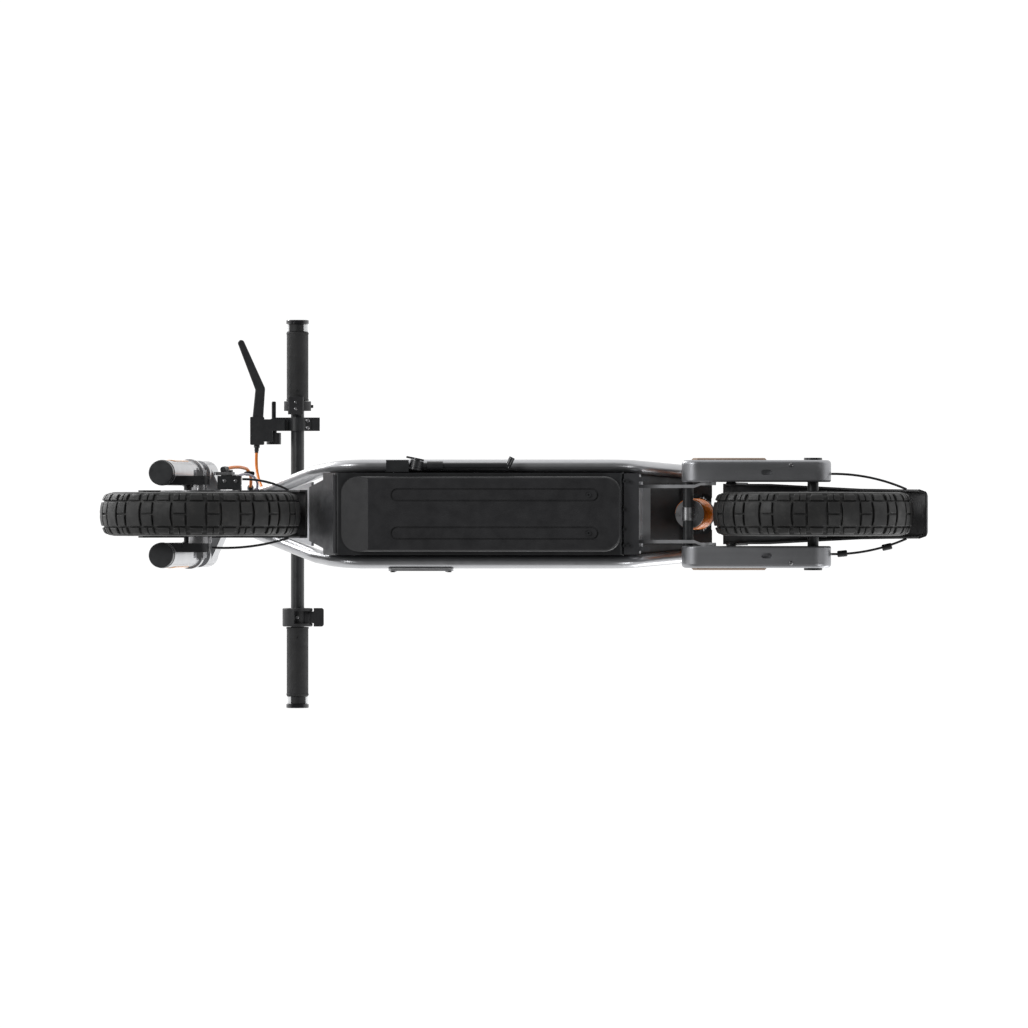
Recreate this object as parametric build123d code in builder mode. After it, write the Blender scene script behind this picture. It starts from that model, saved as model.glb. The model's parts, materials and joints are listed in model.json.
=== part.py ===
from build123d import *

import os
from math import atan2, cos, hypot, radians, sin, tan

# Electric kick scooter. Millimetres, +X forward, +Y to the rider's left, +Z up.
# The origin is on the ground, midway between the front and rear ends.

os.makedirs("parts", exist_ok=True)

# ---- driving dimensions -------------------------------------------------
wheelbase = 931.5
front_axle_x = 477.0
rear_axle_x = front_axle_x - wheelbase
wheel_r = 152.5
tyre_width = 66.0
bead_r = 102.0
tyre_wall = 5.5

steer_tilt = 10.0  # lean of the steering axis from vertical, top to the rear
trail = 56.0  # the steering axis meets the ground this far ahead of the front contact
bar_height = 1205.0
bar_reach = 38.0  # handlebar centre ahead of the steering axis
bar_half = 315.2  # centre line to the outer end of the bare handlebar
bar_r = 11.1
bar_wall = 2.4

leg_spread = 62.6  # centre line to each fork leg
leg_offset = 22.0  # fork legs ahead of the steering axis
leg_r = 19.0
stanchion_r = 16.0
stanchion_wall = 2.5
fork_travel = 30.0
front_axle_r = 6.0
steerer_r = 15.0
head_tube_r = 26.0
head_tube_length = 148.0

tube_half_width = 10.0
tube_half_height = 15.0
tube_wall = 2.5
tube_spread = 73.0  # centre line to each side tube along the deck
tube_height = 165.0
deck_top = 182.0  # underside of the deck plate
tray_bottom = 128.0
tray_wall = 3.0
cover_depth = 16.0
deck_half_width = 80.0
deck_plate_thickness = 4.0
mat_thickness = 4.0

swing_pivot_ahead = 270.9  # swingarm pivot ahead of the rear axle
swing_pivot_z = 170.0
swing_shaft_r = 6.0
arm_inner = 48.6
arm_outer = 82.0
arm_half_height = 26.0
rear_axle_r = 7.0
shock_bolt_r = 5.0
shock_lower_ahead = 190.0
shock_lower_z = 150.0
shock_upper_ahead = 167.5
shock_upper_z = 275.0
spring_r = 20.5
spring_wire_r = 3.5

fender_gap = 7.5  # tyre crown to the inside of the front fender
rear_fender_gap = 19.0
fender_skin = 3.0

cable_r = 2.5
lead_r = 1.8

running_fit = 0.05  # radial clearance of shafts that turn or slide in their bores
free_gap = 0.5  # clearance between pieces that move past each other

# ---- planes and points that pieces share --------------------------------
tilt = radians(steer_tilt)
steer_foot_x = front_axle_x + trail
steer_foot = (steer_foot_x, 0, 0)
steer = Plane(origin=steer_foot, x_dir=(cos(tilt), 0, sin(tilt)), z_dir=(-sin(tilt), 0, cos(tilt)))
steer_side = Plane(origin=steer_foot, x_dir=(cos(tilt), 0, sin(tilt)), z_dir=(0, -1, 0))
side = Plane.XZ
rightward = (0, -1, 0)


def to_steer(x, z):
    # a point of the side view, ahead of and along the steering axis
    ahead = (x - steer_foot_x) * cos(tilt) + z * sin(tilt)
    along = (steer_foot_x - x) * sin(tilt) + z * cos(tilt)
    return ahead, along


def from_steer(ahead, along):
    # the same point back in the side view
    x = steer_foot_x + ahead * cos(tilt) - along * sin(tilt)
    z = ahead * sin(tilt) + along * cos(tilt)
    return x, z


def cross_bar(view, centre, radius, low, high, mode=Mode.ADD):
    # round bar lying across the scooter, from low to high along Y
    with BuildSketch(view.offset(-high)) as end:
        with Locations(centre):
            Circle(radius)
    extrude(end.sketch, amount=high - low, dir=rightward, mode=mode)


def cross_plate(view, corners, low, high, mode=Mode.ADD):
    # flat-sided slab with the given side view, from low to high along Y
    with BuildSketch(view.offset(-high)) as face:
        Polygon(*corners, align=None)
    extrude(face.sketch, amount=high - low, dir=rightward, mode=mode)


def cross_link(view, ends, low, high, mode=Mode.ADD):
    # slab whose side view is wrapped round circles given as (x, z, radius)
    with BuildSketch(view.offset(-high)) as face:
        for x, z, radius in ends:
            with Locations((x, z)):
                Circle(radius)
        make_hull()
    extrude(face.sketch, amount=high - low, dir=rightward, mode=mode)


def post(plane, centre, radius, height, mode=Mode.ADD):
    # round bar standing on a plane
    with BuildSketch(plane) as foot:
        with Locations(centre):
            Circle(radius)
    extrude(foot.sketch, amount=height, mode=mode)


def axle_plane(axle_x, lean):
    # half plane through an axle: local x is across, local y is out from the axle,
    # leaning forward from vertical by lean degrees
    out = (sin(radians(lean)), 0, cos(radians(lean)))
    normal = Vector(0, 1, 0).cross(Vector(*out))
    return Plane(origin=(axle_x, 0, wheel_r), x_dir=(0, 1, 0), z_dir=normal)


def cable(points, radius, name):
    # straight runs joined by the largest arcs that fit, with its bend radii printed
    corners = [Vector(*p) for p in points]
    runs = [b - a for a, b in zip(corners, corners[1:])]
    bends = []
    for before, after in zip(runs, runs[1:]):
        turn = radians(before.get_angle(after))
        bends.append(0.45 * min(before.length, after.length) / tan(turn / 2))
    print(name, "bend radii", [round(b) for b in bends])
    start = corners[0]
    with BuildPart() as piece:
        with BuildLine() as route:
            for corner, run, after, bend in zip(corners[1:], runs, runs[1:], bends):
                cut = bend * tan(radians(run.get_angle(after)) / 2)
                first = corner - run.normalized() * cut
                last = corner + after.normalized() * cut
                Line(start, first)
                sagitta = bend / cos(radians(run.get_angle(after)) / 2) - bend
                chord_middle = (first + last) * 0.5
                middle = corner + (chord_middle - corner).normalized() * sagitta
                ThreePointArc(first, middle, last)
                start = last
            Line(start, corners[-1])
        with BuildSketch(Plane(origin=corners[0], z_dir=runs[0])) as section:
            Circle(radius)
        sweep(section.sketch, path=route.line)
    length = sum(edge.length for edge in route.edges())
    print(name, "length", round(length), "volume ratio", piece.part.volume / (section.sketch.area * length))
    return piece.part


axle_ahead, axle_along = to_steer(front_axle_x, wheel_r)
bar_x = steer_foot_x - (bar_height - bar_reach * sin(tilt)) * tan(tilt) + bar_reach * cos(tilt)
bar_ahead, bar_along = to_steer(bar_x, bar_height)
bar_plane = Plane(origin=(bar_x, 0, bar_height), x_dir=(1, 0, 0), z_dir=(0, -1, 0))

# ---- routes of the cables, from their lower or outer ends ---------------
lever_drop = 10.0
lever_z = bar_height - lever_drop
lever_cable_route = [
    (bar_x + 67.4, 110, lever_z),
    (bar_x + 68.4, 88, lever_z - 3),
    (bar_x + 66, 66, lever_z - 20),
    (bar_x + 59, 47, lever_z - 52),
    (bar_x + 50, 31, lever_z - 92),
    (bar_x + 39.5, 18, lever_z - 134),
    (bar_x + 25.5, 7.5, lever_z - 176),
]
brake_cable_route = [
    (front_axle_x - 36, 68.5, 195),
    (front_axle_x - 44, 71, 217),
    (front_axle_x - 53, 72, 246),
    (front_axle_x - 60, 71.5, 280),
    (front_axle_x - 65, 69.5, 315),
    (front_axle_x - 68, 65, 350),
    (front_axle_x - 69, 58.5, 385),
    (front_axle_x - 68, 50.5, 420),
    (front_axle_x - 66, 41, 455),
]
sensor_lead_route = [
    (front_axle_x - 53, 57, 193.5),
    (front_axle_x - 59, 60, 222),
    (front_axle_x - 65, 61.5, 256),
    (front_axle_x - 71, 60.5, 292),
    (front_axle_x - 76, 57, 330),
    (front_axle_x - 79, 51.5, 368),
    (front_axle_x - 79, 44.5, 405),
    (front_axle_x - 75.5, 35.5, 442),
]


def cable_end(route, radius, length):
    # socket that a cable's last run goes straight into
    last = Vector(*route[-1])
    post(Plane(origin=last, z_dir=last - Vector(*route[-2])), (0, 0), radius, length)


def cable_start(route, radius, length):
    # socket that a cable's first run comes straight out of
    first = Vector(*route[0])
    post(Plane(origin=first, z_dir=first - Vector(*route[1])), (0, 0), radius, length)


# ---- front wheel --------------------------------------------------------
tread_half = tyre_width / 2 - 5
shoulder_r = wheel_r - 6.5
bead_half = 20.0
bulge_r = (bead_r + wheel_r) / 2


def tyre(axle_x):
    # hollow carcass: two beads, bulging side walls and a slightly domed tread
    inner_half = bead_half - tyre_wall
    with BuildPart() as piece:
        with BuildSketch(axle_plane(axle_x, 0)):
            with BuildLine():
                right = ThreePointArc(
                    (bead_half, bead_r + 6), (tyre_width / 2, bulge_r), (tread_half, shoulder_r)
                )
                crown = ThreePointArc(right @ 1, (0, wheel_r), (-tread_half, shoulder_r))
                left = ThreePointArc(crown @ 1, (-tyre_width / 2, bulge_r), (-bead_half, bead_r + 6))
                Polyline(left @ 1, (-bead_half, bead_r), (-inner_half, bead_r), (-inner_half, bead_r + 8))
                hollow_left = ThreePointArc(
                    (-inner_half, bead_r + 8),
                    (tyre_wall - tyre_width / 2, bulge_r),
                    (tyre_wall - tread_half, shoulder_r - tyre_wall),
                )
                hollow_crown = ThreePointArc(
                    hollow_left @ 1, (0, wheel_r - 8), (tread_half - tyre_wall, shoulder_r - tyre_wall)
                )
                ThreePointArc(
                    hollow_crown @ 1, (tyre_width / 2 - tyre_wall, bulge_r), (inner_half, bead_r + 8)
                )
                Polyline((inner_half, bead_r + 8), (inner_half, bead_r), (bead_half, bead_r), right @ 0)
            make_face()
        revolve(axis=Axis((axle_x, 0, wheel_r), (0, 1, 0)))
    return piece.part


front_tyre = tyre(front_axle_x)
front_tyre.label = "front_tyre"
export_step(front_tyre, "parts/front_tyre.step")

rear_tyre = tyre(rear_axle_x)
rear_tyre.label = "rear_tyre"
export_step(rear_tyre, "parts/rear_tyre.step")

hub_half = 34.0
hub_r = 24.0
rim_depth = 14.0
rim_lip = 3.0
spoke_count = 6
spoke_width = 15.0
spoke_thickness = 16.0
rim_inner_r = bead_r - rim_depth

with BuildPart() as front_rim:
    with BuildSketch(axle_plane(front_axle_x, 0)):
        with Locations((0, bead_r - rim_depth / 2)):
            Rectangle(2 * bead_half, rim_depth)
        with Locations((-bead_half - rim_lip / 2, bead_r - 3), (bead_half + rim_lip / 2, bead_r - 3)):
            Rectangle(rim_lip, rim_depth)
    revolve(axis=Axis((front_axle_x, 0, wheel_r), (0, 1, 0)))
    for spoke in range(spoke_count):
        with BuildSketch(axle_plane(front_axle_x, spoke * 360 / spoke_count)) as spoke_face:
            with Locations((0, (rim_inner_r + 1) / 2)):
                Rectangle(spoke_thickness, rim_inner_r + 1)
        extrude(spoke_face.sketch, amount=spoke_width / 2, both=True)
    cross_bar(side, (front_axle_x, wheel_r), hub_r, -hub_half, hub_half)
    cross_bar(
        side, (front_axle_x, wheel_r), front_axle_r + running_fit, -hub_half, hub_half, Mode.SUBTRACT
    )
front_rim.part.label = "front_rim"
export_step(front_rim.part, "parts/front_rim.step")

rotor_r = 60.0
rotor_thickness = 2.0
rotor_inner_r = 44.0
rotor_carrier_r = 20.0
rotor_arms = 6
with BuildPart() as brake_rotor:
    with BuildSketch(side.offset(-hub_half - rotor_thickness)) as disc:
        with Locations((front_axle_x, wheel_r)):
            Circle(rotor_r)
            Circle(rotor_inner_r, mode=Mode.SUBTRACT)
            Circle(rotor_carrier_r)
            with PolarLocations((rotor_carrier_r + rotor_inner_r) / 2, rotor_arms):
                Rectangle(rotor_inner_r - rotor_carrier_r + 4, 7)
            with PolarLocations((rotor_inner_r + rotor_r) / 2, 4 * rotor_arms):
                Circle(2.2, mode=Mode.SUBTRACT)
            Circle(front_axle_r + free_gap, mode=Mode.SUBTRACT)
    extrude(disc.sketch, amount=rotor_thickness, dir=rightward)
brake_rotor.part.label = "brake_rotor"
export_step(brake_rotor.part, "parts/brake_rotor.step")

# ---- fork lowers --------------------------------------------------------
leg_bottom = axle_along - 42
leg_top = axle_along + 151
collar_height = 15.0
collar_r = leg_r + 3
leg_bore_bottom = axle_along
stanchion_bottom = leg_bore_bottom + fork_travel + 10
cap_height = 6.0

with BuildPart() as fork_legs:
    leg_centre = (leg_offset, leg_spread)
    post(steer.offset(leg_bottom), leg_centre, leg_r, leg_top - leg_bottom)
    post(steer.offset(leg_top), leg_centre, collar_r, collar_height)
    chamfer(fork_legs.edges().filter_by(GeomType.CIRCLE).sort_by(Axis.Z)[-1], 2)
    post(
        steer.offset(leg_bore_bottom),
        leg_centre,
        stanchion_r + running_fit,
        leg_top + collar_height - leg_bore_bottom,
        Mode.SUBTRACT,
    )
    mirror(about=Plane.XZ)
fork_legs.part.label = "fork_legs"
export_step(fork_legs.part, "parts/fork_legs.step")

dropout_inner = 44.5
dropout_outer = 58.0
dropout_r = 15.0
dropout_pad_low = axle_along - 24
dropout_pad_high = axle_along + 36
with BuildPart() as fork_feet:
    # flat end caps of the legs
    post(steer.offset(leg_bottom - cap_height), leg_centre, leg_r, cap_height)
    fillet(fork_feet.edges().filter_by(GeomType.CIRCLE).sort_by(Axis.Z)[0], 1.5)
    # dropouts, bolted to the back of the legs
    cross_link(
        steer_side,
        [
            (axle_ahead, axle_along, dropout_r),
            (leg_offset - 10, dropout_pad_low + 6, 6),
            (leg_offset - 10, dropout_pad_high - 6, 6),
        ],
        dropout_inner,
        dropout_outer,
    )
    post(steer.offset(leg_bottom), leg_centre, leg_r, dropout_pad_high + 10 - leg_bottom, Mode.SUBTRACT)
    cross_bar(
        steer_side, (axle_ahead, axle_along), front_axle_r, dropout_inner, dropout_outer, Mode.SUBTRACT
    )
    mirror(about=Plane.XZ)
fork_feet.part.label = "fork_feet"
export_step(fork_feet.part, "parts/fork_feet.step")

axle_nut_width = 9.0
spacer_r = 17.5
with BuildPart() as front_axle:
    axle_end = dropout_outer + axle_nut_width + 3
    cross_bar(side, (front_axle_x, wheel_r), front_axle_r, -axle_end, axle_end)
    for face_y in (dropout_outer + axle_nut_width, -dropout_outer):
        with BuildSketch(side.offset(-face_y)) as nut:
            with Locations((front_axle_x, wheel_r)):
                RegularPolygon(10, 6)
        extrude(nut.sketch, amount=axle_nut_width, dir=rightward)
    cross_bar(side, (front_axle_x, wheel_r), spacer_r, -dropout_inner, -hub_half - free_gap)
    cross_bar(
        side, (front_axle_x, wheel_r), 10, hub_half + rotor_thickness + free_gap, dropout_inner
    )
front_axle.part.label = "front_axle"
export_step(front_axle.part, "parts/front_axle.step")

def fender_shell(axle_x, gap, plan, skirt, front_lean, rear_lean):
    # curved channel over a tyre, from front_lean to rear_lean degrees off vertical; plan is
    # the outline seen from above, one side of it, as (distance ahead of the axle, half width)
    inner = wheel_r + gap
    outer = inner + fender_skin
    bands = ((inner - skirt, outer, 0, Mode.ADD), (inner - 2 * skirt, inner, fender_skin, Mode.SUBTRACT))
    with BuildPart() as shell:
        for low, high, inset, mode in bands:
            with BuildPart(mode=mode) as band:
                with BuildSketch(axle_plane(axle_x, front_lean)):
                    with Locations((0, (low + high) / 2)):
                        Rectangle(200, high - low)
                revolve(
                    axis=Axis((axle_x, 0, wheel_r), (0, -1, 0)), revolution_arc=front_lean - rear_lean
                )
                with BuildSketch(Plane.XY.offset(wheel_r - 2 * outer)) as outline:
                    left = [(axle_x + ahead, half - inset) for ahead, half in plan]
                    Polygon(*left, *[(x, -y) for x, y in reversed(left)], align=None)
                extrude(outline.sketch, amount=4 * outer, mode=Mode.INTERSECT)
    return shell.part


fender_half_width = tyre_width / 2 + 3.5
fender_plan = [(170, fender_half_width), (-170, fender_half_width)]
fender_front_lean = 38.0
fender_rear_lean = -88.0
fender_skirt = 9.0
fender_boss_along = axle_along + 142
stay_r = 1.8
stay_end = (front_axle_x - 134, fender_half_width, 160)
stay_points = [
    [(front_axle_x - 64, 53, 152), (front_axle_x - 100, 49, 155), stay_end],
    [(front_axle_x - 18, -51, 148), (front_axle_x - 85, -48, 152), (stay_end[0], -stay_end[1], 160)],
]
front_shell = fender_shell(
    front_axle_x, fender_gap, fender_plan, fender_skirt, fender_front_lean, fender_rear_lean
)
with BuildPart() as front_fender:
    add(front_shell)
    for low, high in ((fender_half_width - 1, leg_spread - 10), (10 - leg_spread, 1 - fender_half_width)):
        cross_bar(steer_side, (leg_offset, fender_boss_along), 6, low, high)
    for leg_y in (leg_spread, -leg_spread):
        post(steer, (leg_offset, leg_y), leg_r, leg_top, Mode.SUBTRACT)
    # wire stays
    for start, bend, end in stay_points:
        with BuildLine() as wire:
            ThreePointArc(start, bend, end)
        with BuildSketch(Plane(origin=wire.line @ 0, z_dir=wire.line % 0)) as wire_end:
            Circle(stay_r)
        sweep(wire_end.sketch, path=wire.line)
front_fender.part.label = "front_fender"
export_step(front_fender.part, "parts/front_fender.step")

caliper_ahead = -44.0  # caliper centre from the front axle
caliper_up = 22.0
caliper_half = 18.0
caliper_inner = 26.0
caliper_outer = 58.0
caliper_slot = 1.2
caliper_pivot = (front_axle_x + caliper_ahead, wheel_r + caliper_up)
rotor_y = hub_half + rotor_thickness / 2
with BuildPart() as brake_caliper:
    cx, cz = caliper_pivot
    cross_plate(
        side,
        [
            (cx - caliper_half, cz - caliper_half),
            (cx + caliper_half, cz - caliper_half),
            (cx + caliper_half, cz + caliper_half - 6),
            (cx + caliper_half - 6, cz + caliper_half),
            (cx - caliper_half, cz + caliper_half),
        ],
        caliper_inner,
        caliper_outer,
    )
    cross_bar(
        side,
        (front_axle_x, wheel_r),
        rotor_r + 2,
        rotor_y - rotor_thickness / 2 - caliper_slot,
        rotor_y + rotor_thickness / 2 + caliper_slot,
        Mode.SUBTRACT,
    )
    cross_bar(side, caliper_pivot, 5, caliper_outer, caliper_outer + 9)
    # stop that the brake cable's housing ends in, on its bracket
    cable_start(brake_cable_route, 4.5, 8)
    cross_plate(
        side,
        [(cx + 4, cz + 10), (cx + 14, cz + 10), (cx + 14, cz + 17), (cx + 4, cz + 17)],
        caliper_outer - 1,
        67,
    )
    cable_start(sensor_lead_route, 3.5, 10)
    post(steer, leg_centre, leg_r, leg_top, Mode.SUBTRACT)
    cross_link(
        steer_side,
        [
            (axle_ahead, axle_along, dropout_r),
            (leg_offset - 10, dropout_pad_low + 6, 6),
            (leg_offset - 10, dropout_pad_high - 6, 6),
        ],
        dropout_inner,
        dropout_outer,
        Mode.SUBTRACT,
    )
brake_caliper.part.label = "brake_caliper"
export_step(brake_caliper.part, "parts/brake_caliper.step")

with BuildPart() as caliper_arm:
    cross_link(
        side,
        [(cx, cz, 8), (cx + 20, cz - 12, 4)],
        caliper_outer + 1,
        caliper_outer + 6,
    )
    cross_bar(side, caliper_pivot, 5 + running_fit, caliper_outer, caliper_outer + 9, Mode.SUBTRACT)
caliper_arm.part.label = "caliper_arm"
export_step(caliper_arm.part, "parts/caliper_arm.step")

# ---- steerer, crown and stanchions --------------------------------------
crown_low = leg_top + collar_height + fork_travel + 16
crown_high = crown_low + 61
crown_clamp_r = leg_r + 1
bridge_low = crown_low + 14
head_low = crown_high + 19
head_high = head_low + head_tube_length
steerer_top = head_high + 40

with BuildPart() as fork_crown:
    with BuildSketch(steer.offset(bridge_low)) as bridge:
        with Locations((leg_offset, leg_spread), (leg_offset, -leg_spread)):
            Circle(crown_clamp_r)
        with Locations((0, 0)):
            Circle(head_tube_r)
        make_hull()
    extrude(bridge.sketch, amount=crown_high - bridge_low - 6)
    for leg_y in (leg_spread, -leg_spread):
        post(steer.offset(crown_low), (leg_offset, leg_y), crown_clamp_r, crown_high - crown_low)
    post(steer.offset(bridge_low), (0, 0), head_tube_r - 2, head_low - 1 - bridge_low)
    post(steer.offset(bridge_low), (0, 0), steerer_r, steerer_top - bridge_low)
    for leg_y in (leg_spread, -leg_spread):
        post(
            steer.offset(crown_low), (leg_offset, leg_y), stanchion_r, crown_high - crown_low - 5,
            Mode.SUBTRACT,
        )
fork_crown.part.label = "fork_crown"
export_step(fork_crown.part, "parts/fork_crown.step")

with BuildPart() as stanchions:
    post(steer.offset(stanchion_bottom), leg_centre, stanchion_r, crown_high - 5 - stanchion_bottom)
    post(
        steer.offset(stanchion_bottom),
        leg_centre,
        stanchion_r - stanchion_wall,
        crown_high - 10 - stanchion_bottom,
        Mode.SUBTRACT,
    )
    mirror(about=Plane.XZ)
stanchions.part.label = "stanchions"
export_step(stanchions.part, "parts/stanchions.step")

# ---- frame --------------------------------------------------------------
bearing_r = 20.0
bearing_height = 12.0
with BuildPart() as headset_bearings:
    for low in (head_low, head_high - bearing_height):
        post(steer.offset(low), (0, 0), bearing_r, bearing_height)
        post(steer.offset(low), (0, 0), steerer_r + running_fit, bearing_height, Mode.SUBTRACT)
headset_bearings.part.label = "headset_bearings"
export_step(headset_bearings.part, "parts/headset_bearings.step")

# side tubes, as points of the left one: neck, foot of the down run, deck, tail
neck_point = (front_axle_x - 65, 25, 515)
down_point = (front_axle_x - 177, 65, 230)
deck_front_point = (front_axle_x - 219, tube_spread, tube_height)
deck_rear_x = rear_axle_x + 288.5
deck_rear_point = (deck_rear_x - 4, tube_spread, tube_height)
tail_point = (rear_axle_x + 154.5, 62, 285)
neck_x, neck_y, neck_z = neck_point
down_x, down_y, down_z = down_point
tail_x, tail_y, tail_z = tail_point

neck_low = 40.0
neck_half_width = 31.0
neck_outline = [
    from_steer(0, head_high - 14),
    from_steer(0, head_low + 10),
    (neck_x - 16, neck_z - neck_low),
    (neck_x - 27, neck_z - 8),
    (neck_x - 12, neck_z + 34),
]
gland_r = 5.0
gland_length = 42.0
plate_thickness = 4.0
slope = atan2(neck_z - down_z, neck_x - down_x)
plate_low_z = 252.0
plate_low_x = down_x - (down_z - plate_low_z) / tan(slope)
plate_high_z = neck_z - neck_low
plate_high_x = neck_x - neck_low / tan(slope)
plate_low_half = 49.0
plate_high_half = 21.0

with BuildPart() as head_tube:
    post(steer.offset(head_low), (0, 0), head_tube_r, head_tube_length)
    cross_plate(side, neck_outline, -neck_half_width, neck_half_width)
    # panel between the side tubes, from the neck down to the front of the deck
    with BuildSketch(
        Plane(
            origin=(plate_low_x, 0, plate_low_z),
            x_dir=(0, 1, 0),
            z_dir=(sin(slope), 0, -cos(slope)),
        )
    ) as panel:
        panel_length = hypot(plate_high_x - plate_low_x, plate_high_z - plate_low_z) + 10
        Polygon(
            (-plate_low_half, 0),
            (plate_low_half, 0),
            (plate_high_half, panel_length),
            (-plate_high_half, panel_length),
            align=None,
        )
    extrude(panel.sketch, amount=plate_thickness / 2, both=True)
    for route in (brake_cable_route, sensor_lead_route):
        cable_end(route, gland_r, gland_length)
    post(steer.offset(head_low), (0, 0), bearing_r, head_tube_length, Mode.SUBTRACT)
head_tube.part.label = "head_tube"
export_step(head_tube.part, "parts/head_tube.step")



def side_tube(growth, wall, mode=Mode.ADD):
    # both oval side tubes, their sections larger all round by growth; hollow where wall is not 0
    with BuildPart(mode=Mode.PRIVATE) as tube:
        with BuildLine() as tube_line:
            FilletPolyline(
                neck_point, down_point, deck_front_point, deck_rear_point, tail_point, radius=60
            )
        tube_start = Plane(origin=neck_point, x_dir=(0, 1, 0), z_dir=tube_line.line % 0)
        with BuildSketch(tube_start) as tube_section:
            Ellipse(tube_half_width + growth, tube_half_height + growth)
            if wall:
                Ellipse(tube_half_width - wall, tube_half_height - wall, mode=Mode.SUBTRACT)
        sweep(tube_section.sketch, path=tube_line.line)
        mirror(about=Plane.XZ)
    add(tube.part, mode=mode)


tube_room = 0.4
with BuildPart() as frame_tubes:
    side_tube(0, tube_wall)
    cross_plate(side, neck_outline, -neck_half_width - 20, neck_half_width + 20, Mode.SUBTRACT)
    add(head_tube.part, mode=Mode.SUBTRACT)
frame_tubes.part.label = "frame_tubes"
export_step(frame_tubes.part, "parts/frame_tubes.step")

# ---- deck ---------------------------------------------------------------
tray_half = tube_spread - tube_half_width - 0.5
tray_front_bottom = front_axle_x - 207
tray_front_top = front_axle_x - 186
tray_rear = deck_rear_x
tray_outline = [
    (tray_rear, tray_bottom),
    (tray_front_bottom, tray_bottom),
    (tray_front_top, deck_top),
    (tray_rear, deck_top),
]
with BuildPart() as deck_tray:
    cross_plate(side, tray_outline, -tray_half, tray_half)
    fillet(deck_tray.edges().filter_by(Axis.Y).group_by(Axis.Z)[0], 6)
    offset(amount=-tray_wall, openings=deck_tray.faces().sort_by(Axis.Z)[-1], mode=Mode.REPLACE)
    side_tube(tube_room, 0, Mode.SUBTRACT)
deck_tray.part.label = "deck_tray"
export_step(deck_tray.part, "parts/deck_tray.step")

cover_front = tray_front_bottom - 8
cover_rear = tray_rear + 3
cover_half = 57.0
cover_bottom = tray_bottom - cover_depth
cover_wall = 2.5
cover_corner = 26.0
groove_length = 315.0
groove_width = 20.0
groove_depth = 1.5
groove_y = 29.0
groove_x = (cover_front + cover_rear) / 2 - 20
with BuildPart() as battery_cover:
    with BuildSketch(Plane.XY.offset(cover_bottom)):
        with Locations(((cover_front + cover_rear) / 2, 0)):
            RectangleRounded(cover_front - cover_rear, 2 * cover_half, cover_corner)
    extrude(amount=cover_depth)
    fillet(battery_cover.faces().sort_by(Axis.Z)[0].edges(), 5)
    # the front slopes up to the tray
    ramp_run = 44.0
    cross_plate(
        side,
        [
            (cover_front - ramp_run, cover_bottom - 1),
            (cover_front + 1, cover_bottom - 1),
            (cover_front + 1, tray_bottom - 3),
        ],
        -cover_half,
        cover_half,
        Mode.SUBTRACT,
    )
    with BuildSketch(Plane.XY.offset(cover_bottom)) as grooves:
        with Locations((groove_x, groove_y), (groove_x, -groove_y)):
            SlotOverall(groove_length, groove_width)
            SlotOverall(groove_length - 5, groove_width - 5, mode=Mode.SUBTRACT)
    extrude(grooves.sketch, amount=groove_depth, mode=Mode.SUBTRACT)
    with BuildSketch(Plane.XY.offset(tray_bottom)) as hollow:
        with Locations(((cover_front + cover_rear) / 2 - ramp_run / 2, 0)):
            RectangleRounded(
                cover_front - cover_rear - ramp_run - 2 * cover_wall,
                2 * (cover_half - cover_wall),
                cover_corner - cover_wall,
            )
    extrude(hollow.sketch, amount=cover_wall + groove_depth - cover_depth, mode=Mode.SUBTRACT)
battery_cover.part.label = "battery_cover"
export_step(battery_cover.part, "parts/battery_cover.step")

inside_half = tray_half - tray_wall - 2
battery_length = 290.0
controller_length = 80.0
inside_height = deck_top - tray_bottom - tray_wall - 3
inside_z = tray_bottom + tray_wall + inside_height / 2 + 0.5
battery_x = tray_front_bottom - 18 - battery_length / 2
with BuildPart(Plane.XY.offset(inside_z)) as battery_pack:
    with Locations((battery_x, 0)):
        Box(battery_length, 2 * inside_half, inside_height)
    fillet(battery_pack.edges().filter_by(Axis.X), 6)
battery_pack.part.label = "battery_pack"
export_step(battery_pack.part, "parts/battery_pack.step")

with BuildPart(Plane.XY.offset(inside_z)) as controller:
    with Locations((tray_rear + tray_wall + 4 + controller_length / 2, 0)):
        Box(controller_length, 2 * inside_half - 20, inside_height - 16)
    fins = controller.faces().sort_by(Axis.Z)[-1]
    with BuildSketch(fins) as fin_slots:
        with GridLocations(0, 10, 1, 8):
            Rectangle(controller_length - 12, 4)
    extrude(fin_slots.sketch, amount=-6, mode=Mode.SUBTRACT)
controller.part.label = "controller"
export_step(controller.part, "parts/controller.step")

deck_nose = tray_front_top - 1
deck_shoulder = deck_front_point[0] - 14
with BuildPart() as deck_plate:
    with BuildSketch(Plane.XY.offset(deck_top)) as deck_outline:
        Polygon(
            (tray_rear, -deck_half_width),
            (deck_shoulder - 14, -deck_half_width),
            (deck_shoulder, -tray_half + 2),
            (deck_nose, -tray_half + 8),
            (deck_nose, tray_half - 8),
            (deck_shoulder, tray_half - 2),
            (deck_shoulder - 14, deck_half_width),
            (tray_rear, deck_half_width),
            align=None,
        )
    extrude(amount=deck_plate_thickness)
    fillet(deck_plate.edges().filter_by(Axis.Z).sort_by(Axis.X)[2:4], 8)
    side_tube(tube_room, 0, Mode.SUBTRACT)
deck_plate.part.label = "deck_plate"
export_step(deck_plate.part, "parts/deck_plate.step")

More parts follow.
